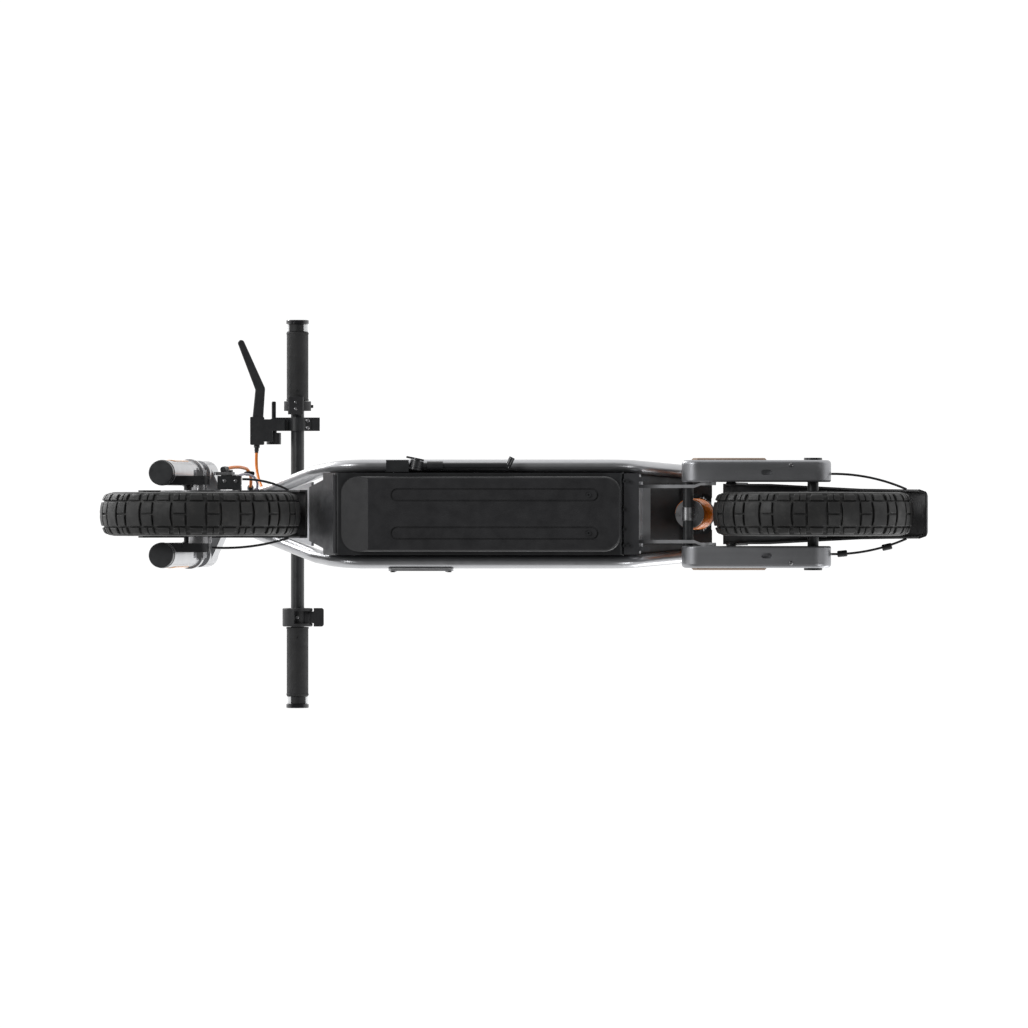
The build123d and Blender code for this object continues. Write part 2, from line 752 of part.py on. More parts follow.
mat_margin = 6.0
mat_top = deck_top + deck_plate_thickness + mat_thickness
with BuildPart() as deck_mat:
    with BuildSketch(Plane.XY.offset(mat_top - mat_thickness)):
        add(deck_outline.sketch.moved(Location((0, 0, -deck_top))))
        offset(amount=-mat_margin, kind=Kind.INTERSECTION, mode=Mode.REPLACE)
    extrude(amount=mat_thickness)
    fillet(deck_mat.edges().filter_by(Axis.Z), 4)
    # shallow grip ribs running along the deck
    with BuildSketch(Plane.XY.offset(mat_top)) as ribs:
        with Locations(((tray_rear + deck_shoulder) / 2 - 8, 0)):
            with GridLocations(0, 12, 1, 11):
                SlotOverall(deck_shoulder - tray_rear - 50, 5)
    extrude(ribs.sketch, amount=-1.5, mode=Mode.SUBTRACT)
deck_mat.part.label = "deck_mat"
export_step(deck_mat.part, "parts/deck_mat.step")

panel_run = 103.0
panel_lean = radians(67.7)
panel_foot_half = 60.0
panel_head_half = 41.0
with BuildPart() as front_panel:
    foot = Vector(tray_front_bottom + 0.5, 0, tray_bottom)
    panel_plane = Plane(origin=foot, x_dir=(0, 1, 0), z_dir=(sin(panel_lean), 0, -cos(panel_lean)))
    with BuildSketch(panel_plane) as cover_face:
        Polygon(
            (-panel_foot_half, 0),
            (panel_foot_half, 0),
            (panel_head_half, panel_run),
            (-panel_head_half, panel_run),
            align=None,
        )
    extrude(cover_face.sketch, amount=plate_thickness)
front_panel.part.label = "front_panel"
export_step(front_panel.part, "parts/front_panel.step")

# ---- rear of the frame --------------------------------------------------
swing_pivot_x = rear_axle_x + swing_pivot_ahead
swing_pivot = (swing_pivot_x, swing_pivot_z)
bracket_rear = swing_pivot_x - 22
cheek_inner = 50.0
cheek_thickness = 6.0
bracket_half = tray_half - 1
bracket_front = tray_rear - 0.5
screw_x = bracket_front - 6
with BuildPart() as pivot_bracket:
    cross_plate(
        side,
        [
            (bracket_front, tray_bottom),
            (bracket_front, deck_top - 2),
            (bracket_front - 3, deck_top - 2),
            (bracket_front - 3, tray_bottom + 4),
            (swing_pivot_x - 6, tray_bottom + 4),
            (swing_pivot_x - 6, tray_bottom),
        ],
        -bracket_half,
        bracket_half,
    )
    cross_plate(
        side,
        [
            (bracket_front, tray_bottom),
            (bracket_front, deck_top - 2),
            (bracket_rear + 8, deck_top - 2),
            (bracket_rear, swing_pivot_z),
            (bracket_rear, tray_bottom + 12),
            (bracket_rear + 12, tray_bottom),
        ],
        cheek_inner,
        cheek_inner + cheek_thickness,
    )
    mirror(about=Plane.XZ)
    cross_bar(side, swing_pivot, swing_shaft_r, -bracket_half, bracket_half, Mode.SUBTRACT)
pivot_bracket.part.label = "pivot_bracket"
export_step(pivot_bracket.part, "parts/pivot_bracket.step")

shock_upper = (rear_axle_x + shock_upper_ahead, shock_upper_z)
shock_lower = (rear_axle_x + shock_lower_ahead, shock_lower_z)
shock_length = hypot(shock_upper[0] - shock_lower[0], shock_upper_z - shock_lower_z)
ear_inner = 13.0
ear_thickness = 5.0
with BuildPart() as frame_bolts:
    cross_bar(side, swing_pivot, swing_shaft_r, -cheek_inner - 10, cheek_inner + 10)
    for low in (-cheek_inner - cheek_thickness - 4, cheek_inner + cheek_thickness):
        cross_bar(side, swing_pivot, 10, low, low + 4)
    cross_bar(side, shock_upper, shock_bolt_r, -26, 26)
    for low in (-ear_inner - ear_thickness - 5, ear_inner + ear_thickness):
        cross_bar(side, shock_upper, 8, low, low + 5)
    side_tube(tube_room, 0, Mode.SUBTRACT)
frame_bolts.part.label = "frame_bolts"
export_step(frame_bolts.part, "parts/frame_bolts.step")

rise = atan2(tail_z - tube_height, deck_rear_point[0] - tail_x)
above = tube_half_height + 0.5
tail_thickness = 5.0
tail_foot_x = tray_rear - 0.5
tail_foot_z = deck_top + 0.4
tail_head_x = tail_x + above * sin(rise)
tail_head_z = tail_foot_z + (tail_foot_x - tail_head_x) * tan(rise) + 1
tail_end_x = rear_axle_x + 150.5
web_z = 262.0
web_half = 46.0
web_front = shock_upper[0] + 25
with BuildPart() as tail_plate:
    cross_plate(
        side,
        [
            (tail_foot_x, tail_foot_z),
            (tail_head_x, tail_head_z),
            (tail_end_x, tail_head_z),
            (tail_end_x, tail_head_z + tail_thickness),
            (tail_head_x + 3, tail_head_z + tail_thickness),
            (tail_foot_x, tail_foot_z + tail_thickness * 1.3),
        ],
        -deck_half_width,
        deck_half_width,
    )
    with BuildSketch(Plane.XY.offset(deck_top)) as tail_outline:
        Polygon(
            (tail_foot_x, -deck_half_width),
            (tail_foot_x, deck_half_width),
            (tail_end_x, deck_half_width - 12),
            (tail_end_x, 12 - deck_half_width),
            align=None,
        )
    extrude(tail_outline.sketch, amount=200, mode=Mode.INTERSECT)
    # ears for the upper shock bolt
    for low in (ear_inner, -ear_inner - ear_thickness):
        cross_link(
            side,
            [
                (shock_upper[0], shock_upper_z, 9.5),
                (shock_upper[0] + 6, tail_head_z - 8, 8),
                (shock_upper[0] - 6, tail_head_z - 2, 4),
            ],
            low,
            low + ear_thickness,
        )
    # boxed surround of the shock's top, open in the middle
    with BuildSketch(Plane.XY.offset(web_z)) as web:
        with Locations(((web_front + tail_end_x) / 2, 0)):
            Rectangle(web_front - tail_end_x, 2 * web_half)
        with Locations((shock_upper[0] + 3, 0)):
            RegularPolygon(31, 8, major_radius=False, rotation=22.5, mode=Mode.SUBTRACT)
    extrude(web.sketch, amount=4)
    for low in (web_half - 3, -web_half):
        cross_plate(
            side,
            [
                (tail_end_x, web_z),
                (web_front, web_z),
                (web_front, tail_foot_z + (tail_foot_x - web_front) * tan(rise) + 3),
                (tail_head_x, tail_head_z + 2),
                (tail_end_x, tail_head_z + 2),
            ],
            low,
            low + 3,
        )
    cross_bar(side, shock_upper, shock_bolt_r, -web_half + 4, web_half - 4, Mode.SUBTRACT)
    side_tube(tube_room, 0, Mode.SUBTRACT)
tail_plate.part.label = "tail_plate"
export_step(tail_plate.part, "parts/tail_plate.step")

# ---- swingarm and rear wheel --------------------------------------------
plate_y = 42.0
plate_half = 2.5
arm_front_x = rear_axle_x + 199.5
arm_rear_x = rear_axle_x - 27.5
cross_tube_r = 13.0
cross_tube_half = cheek_inner - free_gap
bend_x = rear_axle_x + 179.5
join_x = rear_axle_x + 169.5
join_y = arm_inner - plate_half
plate_end_x = join_x - 22
with BuildPart() as swingarm:
    # side plates run back from the pivot and step out to the arms
    with BuildSketch(Plane.XY.offset(swing_pivot_z - 60)) as plan:
        Polygon(
            (swing_pivot_x + cross_tube_r + 5, plate_y - plate_half),
            (swing_pivot_x + cross_tube_r + 5, plate_y + plate_half),
            (bend_x, plate_y + plate_half),
            (join_x, arm_inner),
            (plate_end_x, arm_inner),
            (plate_end_x, join_y - plate_half),
            (join_x + 2, join_y - plate_half),
            (bend_x + 2, plate_y - plate_half),
            align=None,
        )
    extrude(plan.sketch, amount=100)
    cross_link(
        side,
        [
            (swing_pivot_x, swing_pivot_z, cross_tube_r - 0.6),
            (plate_end_x + 14, wheel_r + 8, 14),
            (shock_lower[0], shock_lower_z - 1, 11),
            (plate_end_x + 14, wheel_r - 8, 14),
        ],
        0,
        arm_inner + 5,
        Mode.INTERSECT,
    )
    mirror(about=Plane.XZ)
    cross_bar(side, swing_pivot, cross_tube_r, -cross_tube_half, cross_tube_half)
    cross_plate(
        side,
        [
            (swing_pivot_x - 8, swing_pivot_z - 4),
            (swing_pivot_x - 8, swing_pivot_z + 1),
            (swing_pivot_x - 24, swing_pivot_z + 1),
            (swing_pivot_x - 24, swing_pivot_z - 4),
        ],
        -plate_y,
        plate_y,
    )
    cross_bar(
        side, swing_pivot, swing_shaft_r + running_fit, -cross_tube_half, cross_tube_half, Mode.SUBTRACT
    )
    cross_bar(side, shock_lower, shock_bolt_r, -arm_inner, arm_inner, Mode.SUBTRACT)
swingarm.part.label = "swingarm"
export_step(swingarm.part, "parts/swingarm.step")

shock_eye_half = 10.0
shock_eye_play = 0.4  # the lower eye is where the linkage is left open
slot_x = rear_axle_x + 71.5
with BuildPart() as rear_arms:
    cross_link(
        side,
        [
            (arm_front_x - arm_half_height, wheel_r, arm_half_height),
            (arm_rear_x + arm_half_height, wheel_r, arm_half_height),
        ],
        arm_inner,
        arm_outer,
    )
    fillet(rear_arms.faces().sort_by(Axis.Y)[-1].edges(), 6)
    fillet(rear_arms.faces().sort_by(Axis.Y)[0].edges(), 3)
    cross_bar(side, (rear_axle_x, wheel_r), rear_axle_r, arm_inner, arm_outer, Mode.SUBTRACT)
    # drain slot in the underside
    with BuildSketch(Plane.XY.offset(wheel_r - arm_half_height)) as slot:
        with Locations((slot_x, (arm_inner + arm_outer) / 2 - 2)):
            SlotOverall(16, 8)
    extrude(slot.sketch, amount=8, mode=Mode.SUBTRACT)
    mirror(about=Plane.XZ)
rear_arms.part.label = "rear_arms"
export_step(rear_arms.part, "parts/rear_arms.step")

arm_cover_front = rear_axle_x + 184.5
arm_cover_rear = rear_axle_x + 71.5
arm_cover_half = 18.0
arm_cover_proud = 3.2
with BuildPart() as arm_covers:
    cover_top = wheel_r + arm_cover_half
    cover_foot = wheel_r - arm_cover_half
    cross_plate(
        side,
        [
            (arm_cover_rear, cover_foot),
            (arm_cover_front - 8, cover_foot),
            (arm_cover_front, cover_foot + 8),
            (arm_cover_front, cover_top - 8),
            (arm_cover_front - 8, cover_top),
            (arm_cover_rear, cover_top),
        ],
        arm_outer,
        arm_outer + arm_cover_proud,
    )
    chamfer(arm_covers.faces().sort_by(Axis.Y)[-1].edges(), 2.4)
    mirror(about=Plane.XZ)
arm_covers.part.label = "arm_covers"
export_step(arm_covers.part, "parts/arm_covers.step")

motor_half = 27.0
motor_r = 80.0
motor_wall = 5.0
motor_boss_r = 21.0
motor_boss_half = 35.0
axle_cap_thickness = 3.5
eye_side_gap = 0.6
spacer_length = plate_y - plate_half - shock_eye_half - eye_side_gap
with BuildPart() as rear_shafts:
    cross_bar(side, (rear_axle_x, wheel_r), rear_axle_r, 0.2 - arm_outer, arm_outer - 0.2)
    for low in (motor_boss_half + free_gap, -arm_inner):
        cross_bar(
            side,
            (rear_axle_x, wheel_r),
            rear_axle_r + 1.5,
            low,
            low + arm_inner - motor_boss_half - free_gap,
        )
    # caps over the axle's ends
    for low in (arm_outer, -arm_outer - axle_cap_thickness):
        cross_bar(side, (rear_axle_x, wheel_r), 14, low, low + axle_cap_thickness)
    # bolt of the shock's lower eye, with its heads and spacers
    cross_bar(side, shock_lower, shock_bolt_r, -plate_y - 5, plate_y + 5)
    for low in (-plate_y - plate_half - 3.5, plate_y + plate_half):
        cross_bar(side, shock_lower, 8, low, low + 3.5)
    for low in (shock_eye_half + eye_side_gap, plate_half - plate_y):
        cross_bar(side, shock_lower, 8, low, low + spacer_length)
rear_shafts.part.label = "rear_shafts"
export_step(rear_shafts.part, "parts/rear_shafts.step")

with BuildPart() as motor_rim:
    cross_bar(side, (rear_axle_x, wheel_r), motor_r, -motor_half, motor_half)
    fillet(motor_rim.edges().filter_by(GeomType.CIRCLE), 5)
    cross_bar(side, (rear_axle_x, wheel_r), bead_r, -bead_half, bead_half)
    for low in (-bead_half - rim_lip, bead_half):
        cross_bar(side, (rear_axle_x, wheel_r), bead_r + 4, low, low + rim_lip)
    for low, high in ((bead_half - 9, bead_half + rim_lip), (-bead_half - rim_lip, 9 - bead_half)):
        cross_bar(side, (rear_axle_x, wheel_r), bead_r - 6, low, high, Mode.SUBTRACT)
        cross_bar(side, (rear_axle_x, wheel_r), motor_r, low, high)
    for low, high in ((motor_half - 6, motor_boss_half), (-motor_boss_half, 6 - motor_half)):
        cross_bar(side, (rear_axle_x, wheel_r), motor_boss_r, low, high)
    cross_bar(
        side,
        (rear_axle_x, wheel_r),
        motor_r - motor_wall,
        motor_wall - motor_half,
        motor_half - motor_wall,
        Mode.SUBTRACT,
    )
    cross_bar(
        side,
        (rear_axle_x, wheel_r),
        rear_axle_r + running_fit,
        -motor_boss_half,
        motor_boss_half,
        Mode.SUBTRACT,
    )
motor_rim.part.label = "motor_rim"
export_step(motor_rim.part, "parts/motor_rim.step")

stator_teeth = 18
stator_r = motor_r - motor_wall - 3
stator_half = 15.0
stator_hub_r = 22.0
with BuildPart() as motor_stator:
    with BuildSketch(side.offset(-stator_half)) as laminations:
        with Locations((rear_axle_x, wheel_r)):
            Circle(stator_r)
            Circle(stator_r - 26, mode=Mode.SUBTRACT)
            with PolarLocations(stator_r - 7, stator_teeth):
                Rectangle(16, 9, mode=Mode.SUBTRACT)
            Circle(stator_hub_r)
            with PolarLocations(34, 5):
                Rectangle(36, 10)
            Circle(rear_axle_r, mode=Mode.SUBTRACT)
    extrude(laminations.sketch, amount=2 * stator_half, dir=rightward)
motor_stator.part.label = "motor_stator"
export_step(motor_stator.part, "parts/motor_stator.step")

rear_fender_half = tyre_width / 2 + 5
rear_fender_flare = 8.5
rear_fender_plan = [
    (180, rear_fender_half + rear_fender_flare),
    (60, rear_fender_half + rear_fender_flare),
    (-80, rear_fender_half + 1),
    (-160, rear_fender_half - 0.5),
    (-170, rear_fender_half - 4),
    (-176, rear_fender_half - 14),
]
rear_front_lean = 50.0
rear_rear_lean = -101.0
rear_shell = fender_shell(
    rear_axle_x, rear_fender_gap, rear_fender_plan, 10, rear_front_lean, rear_rear_lean
)
strut_foot = (rear_axle_x + 124, wheel_r + 10)
strut_head = (rear_axle_x + 103, wheel_r + 127)
strut_thickness = 3.0
rear_stay = [
    (arm_rear_x - 0.3, 61, wheel_r + 2),
    (rear_axle_x - 86, 55.5, wheel_r + 1),
    (rear_axle_x - 142, rear_fender_half - 0.5, wheel_r - 4),
]
with BuildPart() as rear_fender:
    with BuildLine() as rear_wire:
        ThreePointArc(*rear_stay)
    with BuildSketch(Plane(origin=rear_wire.line @ 0, z_dir=rear_wire.line % 0)) as rear_wire_end:
        Circle(stay_r)
    sweep(rear_wire_end.sketch, path=rear_wire.line)
    mirror(about=Plane.XZ)
    add(rear_shell)
    strut_outer = arm_inner - free_gap
    for low in (strut_outer - strut_thickness, -strut_outer):
        cross_link(side, [(*strut_foot, 8), (*strut_head, 8)], low, low + strut_thickness)
    for low in (strut_outer - 1, -arm_inner):
        cross_bar(side, strut_foot, 7, low, low + arm_inner - strut_outer + 1)
rear_fender.part.label = "rear_fender"
export_step(rear_fender.part, "parts/rear_fender.step")

lamp_lean = -70.0
lamp_half = 28.0
lamp_height = 22.0
lamp_proud = 5.0
rear_fender_outer = wheel_r + rear_fender_gap + fender_skin
with BuildPart() as tail_light:
    with BuildSketch(axle_plane(rear_axle_x, lamp_lean)) as lamp:
        with Locations((0, rear_fender_outer + lamp_proud / 2)):
            RectangleRounded(2 * lamp_half, lamp_proud + 6, 2.4)
    extrude(lamp.sketch, amount=lamp_height / 2, both=True)
    cross_bar(
        side, (rear_axle_x, wheel_r), rear_fender_outer, -lamp_half - 1, lamp_half + 1, Mode.SUBTRACT
    )
tail_light.part.label = "tail_light"
export_step(tail_light.part, "parts/tail_light.step")

# ---- rear shock ---------------------------------------------------------
shock_lean = Vector(shock_lower[0] - shock_upper[0], 0, shock_lower_z - shock_upper_z)
shock_plane = Plane(origin=(shock_upper[0], 0, shock_upper_z), x_dir=(0, 1, 0), z_dir=shock_lean)
perch_r = 24.0
can_r = 14.0
can_end = 68.0
upper_perch = 16.0
lower_perch = shock_length - 19
with BuildPart() as shock_body:
    cross_bar(side, shock_upper, 10.5, -ear_inner + free_gap, ear_inner - free_gap)
    post(shock_plane, (0, 0), 8, upper_perch)
    post(shock_plane.offset(upper_perch - 4), (0, 0), can_r, can_end - upper_perch + 4)
    post(shock_plane.offset(upper_perch - 4), (0, 0), perch_r, 4)
    post(shock_plane.offset(upper_perch + 6), (0, 0), 6.5, can_end - upper_perch, Mode.SUBTRACT)
    cross_bar(side, shock_upper, shock_bolt_r + running_fit, -ear_inner, ear_inner, Mode.SUBTRACT)
shock_body.part.label = "shock_body"
export_step(shock_body.part, "parts/shock_body.step")

with BuildPart() as shock_rod:
    post(shock_plane.offset(38), (0, 0), 6, shock_length - 38)
    post(shock_plane.offset(lower_perch), (0, 0), perch_r - 2, 4)
    post(shock_plane.offset(lower_perch + 2), (0, 0), 12, 8)
    cross_bar(side, shock_lower, 9, -shock_eye_half, shock_eye_half)
    cross_bar(
        side, shock_lower, shock_bolt_r + shock_eye_play, -shock_eye_half, shock_eye_half, Mode.SUBTRACT
    )
shock_rod.part.label = "shock_rod"
export_step(shock_rod.part, "parts/shock_rod.step")

spring_gap = 0.4
spring_turns = 6
coil_low = upper_perch + spring_wire_r + spring_gap
coil_height = lower_perch - upper_perch - 2 * (spring_wire_r + spring_gap)
with BuildPart() as shock_spring:
    coil_start = shock_plane.offset(coil_low).origin
    with BuildLine() as coil:
        Helix(coil_height / spring_turns, coil_height, spring_r, center=coil_start, direction=shock_lean)
    with BuildSketch(Plane(origin=coil.line @ 0, z_dir=coil.line % 0)) as wire_section:
        Circle(spring_wire_r)
    sweep(wire_section.sketch, path=coil.line, is_frenet=True)
shock_spring.part.label = "shock_spring"
export_step(shock_spring.part, "parts/shock_spring.step")

# ---- folding stem -------------------------------------------------------
fold_base_low = head_high + 1
fold_base_high = fold_base_low + 49
fold_split = 1.0
hinge_ahead = -34.0
hinge_along = fold_base_high + 5
hinge_pin_r = 5.0
knuckle_r = 10.0
knuckle_half = 11.0
ear_outer = 24.0
fold_base_r = 28.0
with BuildPart() as fold_base:
    post(steer.offset(fold_base_low), (0, 0), fold_base_r, fold_base_high - fold_base_low)
    chamfer(fold_base.edges().filter_by(GeomType.CIRCLE), 1.5)
    for low in (knuckle_half + free_gap, -ear_outer):
        high = low + ear_outer - knuckle_half - free_gap
        cross_link(
            steer_side,
            [
                (hinge_ahead, hinge_along, knuckle_r),
                (-16, fold_base_high - 12, 10),
                (-16, fold_base_low + 14, 10),
            ],
            low,
            high,
        )
    # room for the stem's foot and its hinge knuckle
    post(steer.offset(fold_base_high), (0, 0), fold_base_r + 1, 40, Mode.SUBTRACT)
    cross_bar(
        steer_side,
        (hinge_ahead, hinge_along),
        knuckle_r + free_gap,
        -knuckle_half - free_gap,
        knuckle_half + free_gap,
        Mode.SUBTRACT,
    )
    post(steer.offset(fold_base_low), (0, 0), steerer_r, steerer_top - fold_base_low, Mode.SUBTRACT)
    cross_bar(steer_side, (hinge_ahead, hinge_along), hinge_pin_r, -ear_outer, ear_outer, Mode.SUBTRACT)
fold_base.part.label = "fold_base"
export_step(fold_base.part, "parts/fold_base.step")

with BuildPart() as fold_pin:
    cross_bar(steer_side, (hinge_ahead, hinge_along), hinge_pin_r, -ear_outer, ear_outer)
    for low in (-ear_outer - 2.5, ear_outer):
        cross_bar(steer_side, (hinge_ahead, hinge_along), 8, low, low + 2.5)
fold_pin.part.label = "fold_pin"
export_step(fold_pin.part, "parts/fold_pin.step")

stem_r = 22.5
stem_wall = 3.0
stem_low = fold_base_high + fold_split
stem_foot_height = 26.0
stem_top = bar_along - 27
clamp_half = 30.0
clamp_r = 19.0
latch_pivot = (fold_base_r + 7, stem_low + 14)
latch_length = 62.0
latch_half = 9.0
latch_ear = 4.0
with BuildPart() as stem:
    post(steer.offset(stem_low), (0, 0), fold_base_r, stem_foot_height)
    chamfer(stem.edges().filter_by(GeomType.CIRCLE), 1.5)
    # room for the fold base's ears as the stem folds
    cross_bar(
        steer_side,
        (hinge_ahead, hinge_along),
        knuckle_r + free_gap,
        -ear_outer - free_gap,
        ear_outer + free_gap,
        Mode.SUBTRACT,
    )
    cross_link(
        steer_side,
        [(hinge_ahead, hinge_along, knuckle_r), (-14, stem_low + 14, 10)],
        -knuckle_half,
        knuckle_half,
    )
    for low in (latch_half + free_gap, -latch_half - free_gap - latch_ear):
        cross_link(
            steer_side,
            [(*latch_pivot, 6), (fold_base_r - 6, stem_low + 14, 8)],
            low,
            low + latch_ear,
        )
    post(steer.offset(stem_low - 20), (0, 0), fold_base_r + 2, 20, Mode.SUBTRACT)
    cross_bar(
        steer_side, latch_pivot, 3, -latch_half - latch_ear - free_gap, latch_half + latch_ear + free_gap
    )
    post(steer.offset(stem_low + stem_foot_height), (0, 0), stem_r, stem_top - stem_low - stem_foot_height)
    cross_link(
        steer_side,
        [(0, stem_top - 12, stem_r), (bar_ahead, bar_along, clamp_r), (4, bar_along, 14)],
        -clamp_half,
        clamp_half,
    )
    cable_end(lever_cable_route, gland_r, gland_length)
    post(
        steer.offset(stem_low + stem_foot_height), (0, 0), stem_r - stem_wall,
        stem_top - 30 - stem_low - stem_foot_height, Mode.SUBTRACT,
    )
    cross_bar(bar_plane, (0, 0), bar_r, -clamp_half, clamp_half, Mode.SUBTRACT)
    cross_bar(
        steer_side,
        (hinge_ahead, hinge_along),
        hinge_pin_r + running_fit,
        -knuckle_half,
        knuckle_half,
        Mode.SUBTRACT,
    )
stem.part.label = "stem"
export_step(stem.part, "parts/stem.step")

with BuildPart() as fold_latch:
    cross_link(
        steer_side,
        [(*latch_pivot, 5.5), (latch_pivot[0] + 1, latch_pivot[1] + latch_length, 4)],
        -latch_half,
        latch_half,
    )
    cross_bar(steer_side, latch_pivot, 3 + running_fit, -latch_half, latch_half, Mode.SUBTRACT)
fold_latch.part.label = "fold_latch"
export_step(fold_latch.part, "parts/fold_latch.step")

lamp_along = bar_along - 100
lamp_r = 24.0
lamp_length = 34.0
with BuildPart() as headlight:
    lamp_back = from_steer(stem_r + 3, lamp_along)
    lamp_plane = Plane(origin=(lamp_back[0], 0, lamp_back[1]), x_dir=(0, 1, 0), z_dir=(1, 0, 0))
    with BuildSketch(lamp_plane) as lamp_face:
        RectangleRounded(2 * lamp_r, 1.6 * lamp_r, 12)
    extrude(lamp_face.sketch, amount=lamp_length)
    fillet(headlight.faces().sort_by(Axis.X)[0].edges(), 6)
    # recess for the lens
    with BuildSketch(lamp_plane.offset(lamp_length)) as lamp_mouth:
        RectangleRounded(2 * lamp_r - 6, 1.6 * lamp_r - 6, 9)
    extrude(lamp_mouth.sketch, amount=-4, mode=Mode.SUBTRACT)
    cross_link(
        steer_side,
        [(stem_r + 6, lamp_along + 10, 8), (stem_r - 6, lamp_along + 10, 8)],
        -12,
        12,
    )
    post(steer.offset(lamp_along - 60), (0, 0), stem_r, 150, Mode.SUBTRACT)
headlight.part.label = "headlight"
export_step(headlight.part, "parts/headlight.step")

dash_base = bar_along + clamp_r + 0.5
dash_depth = 74.0
dash_half = 36.0
dash_thickness = 14.0
dash_centre = bar_ahead - 20
button_r = 6.5
button_travel = 1.5
button_proud = 2.5
button_centre = (dash_centre - dash_depth / 2 + 13, 0)
with BuildPart() as dashboard:
    with BuildSketch(steer.offset(dash_base)) as dash_outline:
        with Locations((dash_centre, 0)):
            RectangleRounded(dash_depth, 2 * dash_half, 14)
    extrude(dash_outline.sketch, amount=dash_thickness)
    fillet(dashboard.faces().sort_by(Axis.Z)[0].edges(), 4)
    # recess for the display glass and the well of the button
    with BuildSketch(steer.offset(dash_base + dash_thickness)) as glass_recess:
        with Locations((dash_centre + 10, 0)):
            RectangleRounded(dash_depth - 30, 2 * dash_half - 10, 8)
    extrude(glass_recess.sketch, amount=-1.5, mode=Mode.SUBTRACT)
    post(
        steer.offset(dash_base + dash_thickness - 6), button_centre, button_r + 0.3, 7, Mode.SUBTRACT
    )
dashboard.part.label = "dashboard"
export_step(dashboard.part, "parts/dashboard.step")

with BuildPart() as power_button:
    button_low = dash_base + dash_thickness - 6 + button_travel + 0.3
    post(steer.offset(button_low), button_centre, button_r, dash_base + dash_thickness + button_proud - button_low)
    fillet(power_button.edges().filter_by(GeomType.CIRCLE).sort_by(Axis.Z)[-1], 1)
power_button.part.label = "power_button"
export_step(power_button.part, "parts/power_button.step")

# ---- handlebar ----------------------------------------------------------
grip_r = 18.0
grip_outer = 302.4
grip_inner = 187.4
plug_length = 22.0
neck_r = 13.0
flange_r = 19.0
flange_thickness = 6.6
with BuildPart() as handlebar:
    cross_bar(bar_plane, (0, 0), bar_r, -grip_outer, grip_outer)
    cross_bar(bar_plane, (0, 0), bar_r - bar_wall, -grip_outer, grip_outer, Mode.SUBTRACT)
handlebar.part.label = "handlebar"
export_step(handlebar.part, "parts/handlebar.step")

with BuildPart() as grips:
    cross_bar(bar_plane, (0, 0), grip_r, grip_inner, grip_outer)
    fillet(grips.edges().filter_by(GeomType.CIRCLE), 1.5)
    cross_bar(bar_plane, (0, 0), bar_r, grip_inner, grip_outer, Mode.SUBTRACT)
    mirror(about=Plane.XZ)
grips.part.label = "grips"
export_step(grips.part, "parts/grips.step")

with BuildPart() as bar_ends:
    cross_bar(bar_plane, (0, 0), bar_r - bar_wall, grip_outer - plug_length, grip_outer)
    cross_bar(bar_plane, (0, 0), neck_r, grip_outer, bar_half)
    cross_bar(bar_plane, (0, 0), flange_r, bar_half, bar_half + flange_thickness)
    chamfer(bar_ends.faces().sort_by(Axis.Y)[-1].edges(), 1)
    mirror(about=Plane.XZ)
bar_ends.part.label = "bar_ends"
export_step(bar_ends.part, "parts/bar_ends.step")

collar_low = 171.0
collar_width = 15.9
switch_travel = 3.0
switch_rest = 178.5
with BuildPart() as switch_box:
    cross_bar(bar_plane, (0, 0), 22.5, collar_low, collar_low + collar_width)
    with BuildSketch(bar_plane.offset(-165)) as box_face:
        with Locations((2.3, -23)):
            Rectangle(25.7, 14)
    extrude(box_face.sketch, amount=29, dir=(0, 1, 0))
    fillet(switch_box.edges().filter_by(Axis.Y).sort_by(Axis.Z)[0:2], 3)
    cross_bar(bar_plane, (0, 0), grip_r + 0.2, grip_inner - 0.5, grip_outer, Mode.SUBTRACT)
    # guide slot of the turn switch, on the rider's side
    with BuildSketch(bar_plane.offset(-switch_rest - 5.5)) as guide:
        with Locations((-21, 6)):
            Rectangle(7, 6)
    extrude(guide.sketch, amount=11, dir=rightward, mode=Mode.SUBTRACT)
    cross_bar(bar_plane, (0, 0), bar_r, 150, grip_outer, Mode.SUBTRACT)
switch_box.part.label = "switch_box"
export_step(switch_box.part, "parts/switch_box.step")

with BuildPart() as turn_switch:
    with BuildSketch(bar_plane.offset(-switch_rest - 2.5)) as slider:
        with Locations((-22, 6)):
            Rectangle(8, 5)
    extrude(slider.sketch, amount=5, dir=rightward)
    fillet(turn_switch.edges().filter_by(Axis.Y).sort_by(Axis.X)[0:2], 1)
    cross_bar(bar_plane, (0, 0), 18.2, 150, 200, Mode.SUBTRACT)
turn_switch.part.label = "turn_switch"
export_step(turn_switch.part, "parts/turn_switch.step")

